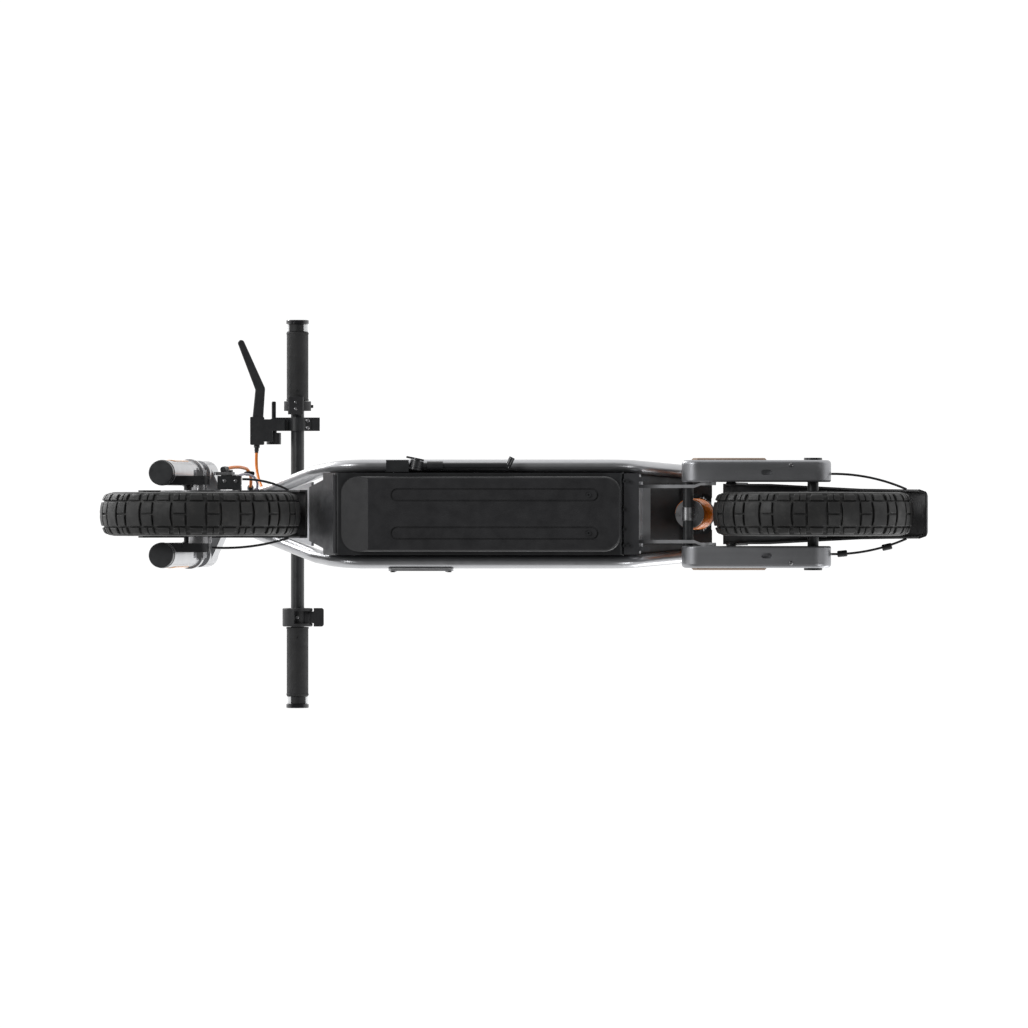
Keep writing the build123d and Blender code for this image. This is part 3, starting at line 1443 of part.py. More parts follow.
perch_low = 114.5
perch_high = 161.0
clamp_low = 137.7
lever_thickness = 12.0
lever_pivot = (bar_x + 66, 152)
lever_pin_r = 3.0
lever_boss_r = 9.0
lever_elbow_r = 8.0
lever_tip_r = 5.5
bell_x = 39.8
bell_low = 115.5
bell_length = 19.4
bell_r = 12.2
bell_rise = 14.0
striker_r = 3.7
striker_pivot_y = 150.0
with BuildPart() as brake_perch:
    cross_bar(bar_plane, (0, 0), 17.5, clamp_low, perch_high - 1)
    with BuildSketch(bar_plane.offset(-perch_high + 1)) as clamp_face:
        with Locations((2, -2)):
            Rectangle(78, 13)
        with Locations((-17.5, 0)):
            Rectangle(10.5, 21)
    extrude(clamp_face.sketch, amount=perch_high - 1 - clamp_low, dir=rightward)
    # body ahead of the clamp that holds the lever's pivot and the cable stop
    with BuildSketch(Plane.XY.offset(lever_z - 10)) as perch_plan:
        with Locations((bar_x + 66.5, (perch_low + perch_high) / 2)):
            RectangleRounded(23, perch_high - perch_low, 2)
        with Locations((bar_x + 50, 131)):
            Rectangle(18, 22)
        with Locations((bar_x + 41, (clamp_low + perch_high) / 2 - 2)):
            Rectangle(40, perch_high - clamp_low - 4)
    extrude(perch_plan.sketch, amount=20)
    # slot for the lever's root
    with BuildSketch(Plane.XY.offset(lever_z - lever_thickness / 2 - free_gap)) as root_slot:
        with Locations((lever_pivot[0], lever_pivot[1] + 6)):
            Rectangle(30, 30)
    extrude(root_slot.sketch, amount=lever_thickness + 2 * free_gap, mode=Mode.SUBTRACT)
    with BuildSketch(Plane.XY.offset(lever_z - 10)) as pin:
        with Locations(lever_pivot):
            Circle(lever_pin_r)
    extrude(pin.sketch, amount=20)
    # cable stop with its adjuster barrel
    cable_start(lever_cable_route, 5, 8)
    cross_bar(bar_plane, (0, 0), bar_r, 100, 170, Mode.SUBTRACT)
    # bell, standing on a bracket of its own with the striker's pivot
    cross_bar(bar_plane, (bell_x, bell_rise), bell_r, bell_low, bell_low + bell_length)
    cross_bar(bar_plane, (bell_x, bell_rise), 5, bell_low + bell_length, clamp_low + 5)
    with BuildSketch(bar_plane.offset(-perch_high + 3)) as bracket_face:
        with Locations((bell_x - 5, bell_rise - 7)):
            Rectangle(20, 7)
    extrude(bracket_face.sketch, amount=perch_high - 3 - clamp_low, dir=rightward)
    # room for the striker's root
    cross_bar(
        bar_plane, (bell_x, bell_rise), striker_r + free_gap, striker_pivot_y - 4.5, perch_high + 1,
        Mode.SUBTRACT,
    )
    with BuildSketch(Plane.XY.offset(bar_height + bell_rise - 6)) as striker_stub:
        with Locations((bar_x + bell_x, striker_pivot_y)):
            Circle(2)
    extrude(striker_stub.sketch, amount=8)
brake_perch.part.label = "brake_perch"
export_step(brake_perch.part, "parts/brake_perch.step")

lever_elbow = (bar_x + 61.5, 207)
lever_tip = (bar_x + 93, 283)
with BuildPart() as brake_lever:
    with BuildSketch(Plane.XY.offset(lever_z - lever_thickness / 2)):
        with Locations(lever_pivot):
            Circle(lever_boss_r)
        with Locations(lever_elbow):
            Circle(lever_elbow_r)
        make_hull()
    extrude(amount=lever_thickness)
    with BuildSketch(Plane.XY.offset(lever_z - lever_thickness / 2)):
        with Locations(lever_elbow):
            Circle(lever_elbow_r)
        with Locations(lever_tip):
            Circle(lever_tip_r)
        make_hull()
    extrude(amount=lever_thickness)
    fillet(brake_lever.edges().filter_by(GeomType.LINE).filter_by(Plane.XY), 2)
    with BuildSketch(Plane.XY.offset(lever_z - lever_thickness)) as pin_hole:
        with Locations(lever_pivot):
            Circle(lever_pin_r + running_fit)
    extrude(pin_hole.sketch, amount=2 * lever_thickness, mode=Mode.SUBTRACT)
brake_lever.part.label = "brake_lever"
export_step(brake_lever.part, "parts/brake_lever.step")

with BuildPart() as bell_striker:
    cross_bar(bar_plane, (bell_x, bell_rise), striker_r, striker_pivot_y - 4, 187)
    fillet(bell_striker.edges().filter_by(GeomType.CIRCLE).sort_by(Axis.Y)[-1], 2)
    with BuildSketch(Plane.XY.offset(bar_height + bell_rise - 8)) as striker_hole:
        with Locations((bar_x + bell_x, striker_pivot_y)):
            Circle(2 + running_fit)
    extrude(striker_hole.sketch, amount=16, mode=Mode.SUBTRACT)
bell_striker.part.label = "bell_striker"
export_step(bell_striker.part, "parts/bell_striker.step")

throttle_low = -186.6
throttle_high = -156.0
throttle_r = 25.0
paddle_wall = 5.0
paddle_bore = 14.5
paddle_ring_r = 23.0
paddle_reach = 43.6
paddle_thickness = 9.0
with BuildPart() as throttle_housing:
    cross_bar(bar_plane, (0, 0), throttle_r, throttle_low, throttle_high)
    fillet(throttle_housing.edges().filter_by(GeomType.CIRCLE), 2)
    # bay at the rider's side that the paddle sweeps through
    with BuildSketch(bar_plane.offset(-throttle_high + paddle_wall)) as bay:
        Polygon((0, 0), (-60, 22), (-60, -60), (12, -60), align=None)
        Circle(paddle_bore - free_gap, mode=Mode.SUBTRACT)
    extrude(
        bay.sketch,
        amount=throttle_high - throttle_low - 2 * paddle_wall,
        dir=rightward,
        mode=Mode.SUBTRACT,
    )
    cross_bar(bar_plane, (0, 0), bar_r, throttle_low, throttle_high, Mode.SUBTRACT)
throttle_housing.part.label = "throttle_housing"
export_step(throttle_housing.part, "parts/throttle_housing.step")

with BuildPart() as throttle_paddle:
    paddle_low = throttle_low + paddle_wall + free_gap
    paddle_high = throttle_high - paddle_wall - free_gap
    with BuildSketch(bar_plane.offset(-paddle_high)) as paddle_face:
        with Locations((-paddle_reach / 2, -4)):
            RectangleRounded(paddle_reach, paddle_thickness, 3)
        Circle(paddle_bore, mode=Mode.SUBTRACT)
    extrude(paddle_face.sketch, amount=paddle_high - paddle_low, dir=rightward)
    with BuildSketch(bar_plane.offset(-paddle_high)) as paddle_root:
        Circle(paddle_ring_r)
        Circle(paddle_bore, mode=Mode.SUBTRACT)
        Polygon((0, 0), (-60, 8), (-60, -30), align=None, mode=Mode.INTERSECT)
    extrude(paddle_root.sketch, amount=paddle_high - paddle_low, dir=rightward)
    # thumb pad, as wide as the housing, just outside its bay
    with BuildSketch(bar_plane.offset(-throttle_high)) as pad:
        with Locations((-(paddle_reach + throttle_r + 2) / 2, -4)):
            Rectangle(paddle_reach - throttle_r - 2, paddle_thickness)
    extrude(pad.sketch, amount=throttle_high - throttle_low, dir=rightward)
    fillet(throttle_paddle.edges().filter_by(Axis.Z).sort_by(Axis.X)[0:2], 4)
throttle_paddle.part.label = "throttle_paddle"
export_step(throttle_paddle.part, "parts/throttle_paddle.step")

# ---- kickstand, guard plate and screws ----------------------------------
stand_skew = radians(12.0)
stand_pivot = Vector(front_axle_x - 329, tube_spread + 3, 136.5)
stand_axis = Vector(sin(stand_skew), -cos(stand_skew), 0)
stand_hinge = Plane(origin=stand_pivot, z_dir=stand_axis)
stand_knuckle_r = 10.0
stand_knuckle_half = 5.5
stand_ear = 3.0
stand_length = 142.0
stand_leg_r = 4.5
stand_sleeve_r = 6.5
tube_underside = tube_height - tube_half_height
with BuildPart() as stand_bracket:
    block_front = stand_pivot.X + 46
    with BuildSketch(Plane.XY.offset(stand_pivot.Z - 8)) as block:
        with Locations(((block_front + stand_pivot.X) / 2 + 6, tube_spread)):
            Rectangle(block_front - stand_pivot.X - 12, 18)
    extrude(block.sketch, amount=tube_height - stand_pivot.Z + 8)
    for low in (stand_knuckle_half + free_gap, -stand_knuckle_half - free_gap - stand_ear):
        with BuildSketch(stand_hinge.offset(low)) as ear:
            Circle(stand_knuckle_r)
        extrude(ear.sketch, amount=stand_ear)
        ear_middle = stand_pivot + stand_axis * (low + stand_ear / 2)
        with BuildSketch(Plane.XY.offset(stand_pivot.Z - 8)) as ear_web:
            with Locations(Location((ear_middle.X + 8, ear_middle.Y + 1.5, 0), (0, 0, 12))):
                Rectangle(18, stand_ear)
        extrude(ear_web.sketch, amount=15)
    with BuildSketch(stand_hinge.offset(-stand_knuckle_half - stand_ear)) as stand_pin:
        Circle(4)
    extrude(stand_pin.sketch, amount=2 * (stand_knuckle_half + stand_ear))
    # saddle of the block under the side tube
    with BuildSketch(Plane.YZ.offset(stand_pivot.X - 40)) as saddle:
        with Locations((tube_spread, tube_height + tube_half_height)):
            Rectangle(60, 2 * tube_half_height)
    extrude(saddle.sketch, amount=120, mode=Mode.SUBTRACT)
    side_tube(0.05, 0, Mode.SUBTRACT)
stand_bracket.part.label = "stand_bracket"
export_step(stand_bracket.part, "parts/stand_bracket.step")

with BuildPart() as kickstand:
    with BuildSketch(stand_hinge.offset(-stand_knuckle_half)) as knuckle:
        Circle(stand_knuckle_r)
    extrude(knuckle.sketch, amount=2 * stand_knuckle_half)
    leg_line = stand_pivot - Vector(0, 12 * sin(stand_skew), 0)
    leg_start = Plane(origin=leg_line, x_dir=(0, 1, 0), z_dir=(-1, 0, 0))
    post(leg_start.offset(7), (0, 0), stand_leg_r, stand_length - 7)
    post(leg_start.offset(stand_knuckle_r + 6), (0, 0), stand_sleeve_r, 24)
    foot_plane = Plane(
        origin=leg_line + Vector(-stand_length + 3, 0, 0), x_dir=(0, 0, 1), z_dir=(-0.45, 0.89, 0)
    )
    post(foot_plane.offset(-3), (0, 0), stand_leg_r, 17)
    with BuildSketch(stand_hinge.offset(-stand_knuckle_half - 1)) as stand_bore:
        Circle(4 + running_fit)
    extrude(stand_bore.sketch, amount=2 * stand_knuckle_half + 2, mode=Mode.SUBTRACT)
kickstand.part.label = "kickstand"
export_step(kickstand.part, "parts/kickstand.step")

guard_front = front_axle_x - 286
guard_rear = front_axle_x - 385
guard_y = tube_spread + tube_half_width + 0.2
guard_thickness = 3.5
guard_height = 22.0
guard_ribs = 14
with BuildPart() as side_guard:
    cross_plate(
        side,
        [
            (guard_rear, tube_height - guard_height / 2),
            (guard_front, tube_height - guard_height / 2),
            (guard_front, tube_height + guard_height / 2),
            (guard_rear, tube_height + guard_height / 2),
        ],
        -guard_y - guard_thickness,
        -guard_y,
    )
    fillet(side_guard.edges().filter_by(Axis.Y), 5)
    with BuildSketch(side.offset(guard_y + guard_thickness)) as rib_slots:
        with Locations(((guard_front + guard_rear) / 2, tube_height)):
            with GridLocations((guard_front - guard_rear - 30) / (guard_ribs - 1), 0, guard_ribs, 1):
                Rectangle(2.2, guard_height - 6)
    extrude(rib_slots.sketch, amount=-1.2, mode=Mode.SUBTRACT)
side_guard.part.label = "side_guard"
export_step(side_guard.part, "parts/side_guard.step")

screw_head_r = 3.5
screw_head_height = 2.0
plate_screws = [
    (bracket_front - 2, 50), (bracket_front - 2, 7), (bracket_front - 2, -23), (bracket_front - 2, -48),
    (bracket_front - 9, 49), (bracket_front - 9, -48),
]
cover_screws = [(cover_rear + 50, groove_y), (cover_rear + 50, -groove_y)]
with BuildPart() as deck_screws:
    for places, face_z in ((plate_screws, tray_bottom), (cover_screws, cover_bottom)):
        with BuildSketch(Plane.XY.offset(face_z - screw_head_height)) as heads:
            with Locations(*places):
                Circle(screw_head_r)
                RegularPolygon(1.5, 6, mode=Mode.SUBTRACT)
        extrude(heads.sketch, amount=screw_head_height)
    for x in (guard_front - 2.5 - 4, guard_rear + 6.5):
        cross_bar(
            side,
            (x, tube_height),
            screw_head_r,
            -guard_y - guard_thickness - screw_head_height,
            -guard_y - guard_thickness,
        )
deck_screws.part.label = "deck_screws"
export_step(deck_screws.part, "parts/deck_screws.step")

# ---- cables -------------------------------------------------------------
lever_cable = cable(lever_cable_route, cable_r, "lever_cable")
lever_cable.label = "lever_cable"
export_step(lever_cable, "parts/lever_cable.step")

brake_cable = cable(brake_cable_route, cable_r, "brake_cable")
brake_cable.label = "brake_cable"
export_step(brake_cable, "parts/brake_cable.step")

sensor_lead = cable(sensor_lead_route, lead_r, "sensor_lead")
sensor_lead.label = "sensor_lead"
export_step(sensor_lead, "parts/sensor_lead.step")
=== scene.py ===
import math

import bpy
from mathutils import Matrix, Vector
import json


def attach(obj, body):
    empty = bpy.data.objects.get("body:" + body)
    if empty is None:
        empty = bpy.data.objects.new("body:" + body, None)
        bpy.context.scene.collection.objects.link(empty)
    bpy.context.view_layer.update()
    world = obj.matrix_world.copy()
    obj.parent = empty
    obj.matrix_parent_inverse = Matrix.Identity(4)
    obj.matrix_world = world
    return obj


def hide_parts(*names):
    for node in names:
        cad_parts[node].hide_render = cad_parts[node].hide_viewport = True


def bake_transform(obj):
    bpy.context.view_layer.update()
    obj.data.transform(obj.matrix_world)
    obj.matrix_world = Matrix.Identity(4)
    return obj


# Looks of the electric kick scooter. Metres, +X forward, +Y to the rider's left, +Z up.

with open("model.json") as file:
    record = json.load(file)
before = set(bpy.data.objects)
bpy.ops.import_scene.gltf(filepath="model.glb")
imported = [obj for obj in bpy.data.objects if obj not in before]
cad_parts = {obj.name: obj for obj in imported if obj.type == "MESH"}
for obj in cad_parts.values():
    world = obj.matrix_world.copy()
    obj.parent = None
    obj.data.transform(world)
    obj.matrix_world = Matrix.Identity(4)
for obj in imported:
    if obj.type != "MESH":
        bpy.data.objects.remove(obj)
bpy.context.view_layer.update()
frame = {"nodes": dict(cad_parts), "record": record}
nodes = frame["nodes"]
print("frame loaded")

# shared places, the same as in the solid model
axle = {"front": 0.477, "rear": -0.4545, "height": 0.1525}
tilt = math.radians(10)
steerFoot = 0.533
bar = Vector((0.35911, 0, 1.205))


def steerPoint(ahead, across, along):
    # a point given ahead of, across and along the tilted steering axis
    x = steerFoot + ahead * math.cos(tilt) - along * math.sin(tilt)
    return Vector((x, across, ahead * math.sin(tilt) + along * math.cos(tilt)))


steerUp = Vector((-math.sin(tilt), 0, math.cos(tilt)))
steerAhead = Vector((math.cos(tilt), 0, math.sin(tilt)))

# ---- materials ----
# tint: colour, shift: how far it drifts, rough: mean roughness, wander: roughness spread,
# grain: size in metres and height of the fine relief, brushed: direction of drawn lines
finishes = {
    "black_plastic": dict(
        tint=(0.021, 0.021, 0.023), shift=0.18, rough=0.48, wander=0.10, grain=(0.0007, 0.25),
    ),
    "gloss_black": dict(
        tint=(0.012, 0.012, 0.014), shift=0.10, rough=0.10, wander=0.06, grain=(0.02, 0.02), coat=0.6,
    ),
    "black_paint": dict(
        tint=(0.026, 0.027, 0.029), shift=0.15, rough=0.36, wander=0.10, grain=(0.0012, 0.10), coat=0.15,
    ),
    "silver_paint": dict(
        tint=(0.50, 0.505, 0.52), shift=0.05, rough=0.34, wander=0.06,
        metal=0.75, grain=(0.0010, 0.06), coat=0.3,
    ),
    "grey_metal": dict(
        tint=(0.36, 0.365, 0.38), shift=0.08, rough=0.38, wander=0.08,
        metal=0.85, grain=(0.0009, 0.12), brushed="X",
    ),
    "dark_panel": dict(
        tint=(0.055, 0.056, 0.060), shift=0.12, rough=0.42, wander=0.10, metal=0.3, grain=(0.0012, 0.10),
    ),
    "chrome": dict(
        tint=(0.80, 0.80, 0.82), shift=0.03, rough=0.07, wander=0.05, metal=1, grain=(0.01, 0.01),
    ),
    "steel": dict(
        tint=(0.46, 0.46, 0.47), shift=0.10, rough=0.30, wander=0.10, metal=1, grain=(0.0006, 0.08),
    ),
    "alloy": dict(
        tint=(0.55, 0.56, 0.58), shift=0.08, rough=0.32, wander=0.08, metal=0.95, grain=(0.0008, 0.08),
    ),
    "orange_coat": dict(
        tint=(0.92, 0.24, 0.015), shift=0.10, rough=0.30, wander=0.08, grain=(0.002, 0.05), coat=0.4,
    ),
    "orange_sleeve": dict(
        tint=(0.92, 0.25, 0.02), shift=0.10, rough=0.42, wander=0.08, grain=(0.0008, 0.12),
    ),
    # grey_sleeve: the sensor lead's grey-lavender colour is a painted highlight, the sheen of a dark cable
    # painted over the whole lead
    "grey_sleeve": dict(
        tint=(0.30, 0.28, 0.36), shift=0.10, rough=0.46, wander=0.08, grain=(0.0008, 0.12),
    ),
    "grip_rubber": dict(
        tint=(0.022, 0.022, 0.023), shift=0.20, rough=0.66, wander=0.10, grain=(0.0022, 0.9), cells=True,
    ),
    "mat_rubber": dict(
        tint=(0.030, 0.030, 0.031), shift=0.20, rough=0.70, wander=0.10, grain=(0.0012, 0.7), cells=True,
    ),
    "tyre_rubber": dict(
        tint=(0.017, 0.017, 0.017), shift=0.30, rough=0.60, wander=0.12, grain=(0.0010, 0.35), dust=0.14,
    ),
    "red_lens": dict(
        tint=(0.42, 0.012, 0.010), shift=0.08, rough=0.16, wander=0.05, grain=(0.004, 0.10), coat=0.5,
    ),
    "cell_wrap": dict(
        tint=(0.04, 0.07, 0.15), shift=0.10, rough=0.35, wander=0.08, grain=(0.004, 0.05),
    ),
    "copper_steel": dict(
        tint=(0.33, 0.16, 0.08), shift=0.25, rough=0.40, wander=0.10, metal=0.9, grain=(0.0008, 0.3),
    ),
    "amber_edge": dict(
        tint=(0.34, 0.25, 0.19), shift=0.12, rough=0.34, wander=0.08,
        metal=0.35, grain=(0.001, 0.08), coat=0.3,
    ),
    "amber_lens": dict(
        tint=(0.86, 0.36, 0.06), shift=0.08, rough=0.22, wander=0.06, grain=(0.003, 0.15), coat=0.6,
    ),
    "clear_lens": dict(
        tint=(0.90, 0.91, 0.92), shift=0.03, rough=0.14, wander=0.05, grain=(0.004, 0.12), clear=0.12,
    ),
    "black_seal": dict(
        tint=(0.014, 0.014, 0.015), shift=0.2, rough=0.55, wander=0.1, grain=(0.001, 0.2),
    ),
    "screen": dict(
        tint=(0.008, 0.010, 0.012), shift=0.05, rough=0.06, wander=0.03, grain=(0.03, 0.01), coat=1.0,
    ),
}


def makeSkin(
    name, tint, shift, rough, wander, grain, metal=0, coat=0, clear=0, dust=0, brushed=None, cells=False
):
    skin = bpy.data.materials.new(name)
    skin.use_nodes = True
    tree = skin.node_tree
    shader = tree.nodes["Principled BSDF"]
    shader.inputs["Metallic"].default_value = metal
    shader.inputs["Coat Weight"].default_value = coat
    shader.inputs["Transmission Weight"].default_value = clear
    place = tree.nodes.new("ShaderNodeTexCoord")

    def noise(size, detail, stretch=None):
        texture = tree.nodes.new("ShaderNodeTexNoise")
        texture.inputs["Scale"].default_value = 1 / size
        texture.inputs["Detail"].default_value = detail
        source = place.outputs["Object"]
        if stretch:
            lines = tree.nodes.new("ShaderNodeMapping")
            lines.inputs["Scale"].default_value = [0.02 if letter == stretch else 1 for letter in "XYZ"]
            tree.links.new(source, lines.inputs["Vector"])
            source = lines.outputs["Vector"]
        tree.links.new(source, texture.inputs["Vector"])
        return texture.outputs["Fac"]

    def ramp(source, low, high, first, last):
        step = tree.nodes.new("ShaderNodeMapRange")
        for socket, value in zip(("From Min", "From Max", "To Min", "To Max"), (low, high, first, last)):
            step.inputs[socket].default_value = value
        tree.links.new(source, step.inputs["Value"])
        return step.outputs["Result"]

    # colour: broad drift, then a light film of dust where asked
    drift = noise(0.05, 5)
    blend = tree.nodes.new("ShaderNodeMix")
    blend.data_type = "RGBA"
    blend.inputs["A"].default_value = [c * (1 - shift) for c in tint] + [1]
    blend.inputs["B"].default_value = [min(1, c * (1 + shift)) for c in tint] + [1]
    tree.links.new(ramp(drift, 0.3, 0.7, 0, 1), blend.inputs["Factor"])
    colour = blend.outputs["Result"]
    if dust:
        film = tree.nodes.new("ShaderNodeMix")
        film.data_type = "RGBA"
        film.inputs["B"].default_value = (0.12, 0.11, 0.10, 1)
        tree.links.new(ramp(noise(0.012, 8), 0.52, 0.75, 0, dust), film.inputs["Factor"])
        tree.links.new(colour, film.inputs["A"])
        colour = film.outputs["Result"]
    tree.links.new(colour, shader.inputs["Base Color"])

    # roughness: hand marks and finer scatter
    marks = noise(0.015, 6, brushed)
    smoothest = max(0.03, rough - wander)
    tree.links.new(ramp(marks, 0.3, 0.7, smoothest, rough + wander), shader.inputs["Roughness"])

    # relief
    size, height = grain
    if cells:
        relief = tree.nodes.new("ShaderNodeTexVoronoi")
        relief.inputs["Scale"].default_value = 1 / size
        tree.links.new(place.outputs["Object"], relief.inputs["Vector"])
        surface = relief.outputs["Distance"]
    else:
        surface = noise(size, 3, brushed)
    bump = tree.nodes.new("ShaderNodeBump")
    bump.inputs["Strength"].default_value = height
    bump.inputs["Distance"].default_value = 0.0004
    tree.links.new(surface, bump.inputs["Height"])
    tree.links.new(bump.outputs["Normal"], shader.inputs["Normal"])
    return skin


skins = {name: makeSkin(name, **finish) for name, finish in finishes.items()}
slotOf = {s["node"]: s["material_slot"] for s in frame["record"]["subparts"]}
for name, node in nodes.items():
    node.data.materials.clear()
    node.data.materials.append(skins[slotOf[name]])
print("materials made")

# ---- shapes ----


def addMesh(name, points, faces, skin, body=None, smooth=True):
    mesh = bpy.data.meshes.new(name)
    mesh.from_pydata([tuple(p) for p in points], [], faces)
    mesh.validate()
    mesh.update()
    piece = bpy.data.objects.new(name, mesh)
    bpy.context.scene.collection.objects.link(piece)
    mesh.materials.append(skins[skin])
    if smooth:
        mesh.shade_smooth()
        mesh.set_sharp_from_angle(angle=math.radians(35))
    if body:
        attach(piece, body)
    return piece


def across(axis):
    # two directions square to an axis
    axis = Vector(axis).normalized()
    helper = Vector((0, 0, 1)) if abs(axis.z) < 0.9 else Vector((0, 1, 0))
    first = axis.cross(helper).normalized()
    return axis, first, axis.cross(first)


def addTurned(name, centre, axis, outline, skin, body=None, sides=48, start=0, sweep=360, closed=False):
    # outline of (radius, distance along the axis) turned about the axis
    axis, first, second = across(axis)
    whole = sweep == 360
    steps = sides if whole else sides + 1
    points, faces = [], []
    for i in range(steps):
        angle = math.radians(start + sweep * i / sides)
        out = first * math.cos(angle) + second * math.sin(angle)
        points += [Vector(centre) + out * r + axis * d for r, d in outline]
    count = len(outline)
    for i in range(sides):
        a, b = i * count, ((i + 1) % steps) * count
        for j in range(count if closed else count - 1):
            k = (j + 1) % count
            faces.append((a + j, b + j, b + k, a + k))
    if not whole and closed:
        faces.append(tuple(range(count)))
        faces.append(tuple(reversed(range(sides * count, steps * count))))
    return addMesh(name, points, faces, skin, body)


def addTube(name, route, radius, skin, body=None):
    # round cable along a smooth spline through the route's control points
    line = bpy.data.curves.new(name, "CURVE")
    line.dimensions = "3D"
    spline = line.splines.new("NURBS")
    spline.points.add(len(route) - 1)
    for point, place in zip(spline.points, route):
        point.co = (*place, 1)
    spline.order_u = 3
    spline.use_endpoint_u = True
    line.resolution_u = 10
    line.bevel_depth = radius
    line.bevel_resolution = 5
    line.use_fill_caps = True
    holder = bpy.data.objects.new(name + "_line", line)
    bpy.context.scene.collection.objects.link(holder)
    bpy.context.view_layer.update()
    mesh = bpy.data.meshes.new_from_object(holder)
    bpy.data.objects.remove(holder)
    mesh.materials.clear()
    mesh.materials.append(skins[skin])
    mesh.shade_smooth()
    piece = bpy.data.objects.new(name, mesh)
    bpy.context.scene.collection.objects.link(piece)
    if body:
        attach(piece, body)
    return piece


screwSizes = {"headHeight": 0.0019, "socketDepth": 0.0012, "socketShare": 0.48, "sides": 24}


def addScrew(name, centre, axis, radius, body, skin="steel"):
    # low domed head with a hexagonal socket, standing on a surface
    axis, first, second = across(axis)
    height = screwSizes["headHeight"] * radius / 0.0035
    socket = radius * screwSizes["socketShare"]
    floorAt = height - screwSizes["socketDepth"]
    rings = [
        (radius, -0.0003), (radius, height * 0.45), (radius * 0.86, height * 0.85), (radius * 0.66, height),
    ]
    count = screwSizes["sides"]
    points, faces = [], []
    for r, d in rings:
        for i in range(count):
            angle = 2 * math.pi * i / count
            out = first * math.cos(angle) + second * math.sin(angle)
            points.append(Vector(centre) + out * r + axis * d)
    # the socket's six walls, joined to the dome's inner ring
    for depth in (height, floorAt):
        for i in range(count):
            angle = 2 * math.pi * i / count
            flat = socket * math.cos(math.pi / 6) / math.cos(angle % (math.pi / 3) - math.pi / 6)
            out = first * math.cos(angle) + second * math.sin(angle)
            points.append(Vector(centre) + out * flat + axis * depth)
    for low in range(len(rings) + 1):
        for i in range(count):
            j = (i + 1) % count
            a, b = low * count, (low + 1) * count
            faces.append((a + i, a + j, b + j, b + i))
    faces.append(tuple((len(rings) + 1) * count + i for i in range(count)))
    return addMesh(name, points, faces, skin, body)


# ---- tyres ----
tyre = {
    "repeats": 18,
    "grooveDepth": 0.0034,
    "centreHalf": 0.0185,
    "fullLength": 0.029,
    "halfLength": 0.0182,
    "splitGap": 0.003,
    "waist": 0.0016,
    "lugLength": 0.021,
    "lugNarrowing": 0.004,
    "turns": 120,
    "columns": 28,
    "grooveEdge": 0.0335,
    "grooveEnd": 0.036,
    "ringHeight": 0.0005,
    "rings": ((0.0445, 0.0462), (0.0545, 0.0565)),
}
# outer skin of the tyre from the middle of the tread to the bead, as (across, radius)
tyreSkin = [
    (0, 0.1525), (0.006, 0.1522), (0.012, 0.1514), (0.018, 0.1499), (0.023, 0.1482), (0.028, 0.1460),
    (0.0305, 0.1425), (0.0322, 0.1370), (0.0330, 0.1300), (0.0326, 0.1230), (0.0305, 0.1160),
    (0.0265, 0.1105), (0.0225, 0.1075), (0.0203, 0.1050), (0.0200, 0.1022),
]


def skinAt(distance, depth):
    # point at a distance round the tyre's skin from the middle, sunk by depth
    side = 1 if distance >= 0 else -1
    left = abs(distance)
    for (y0, r0), (y1, r1) in zip(tyreSkin, tyreSkin[1:]):
        length = math.hypot(y1 - y0, r1 - r0)
        if left <= length or (y1, r1) == tyreSkin[-1]:
            share = min(1, left / length)
            normalY, normalR = (r0 - r1) / length, (y1 - y0) / length
            y = y0 + (y1 - y0) * share - normalY * depth
            return side * y, r0 + (r1 - r0) * share - normalR * depth
        left -= length


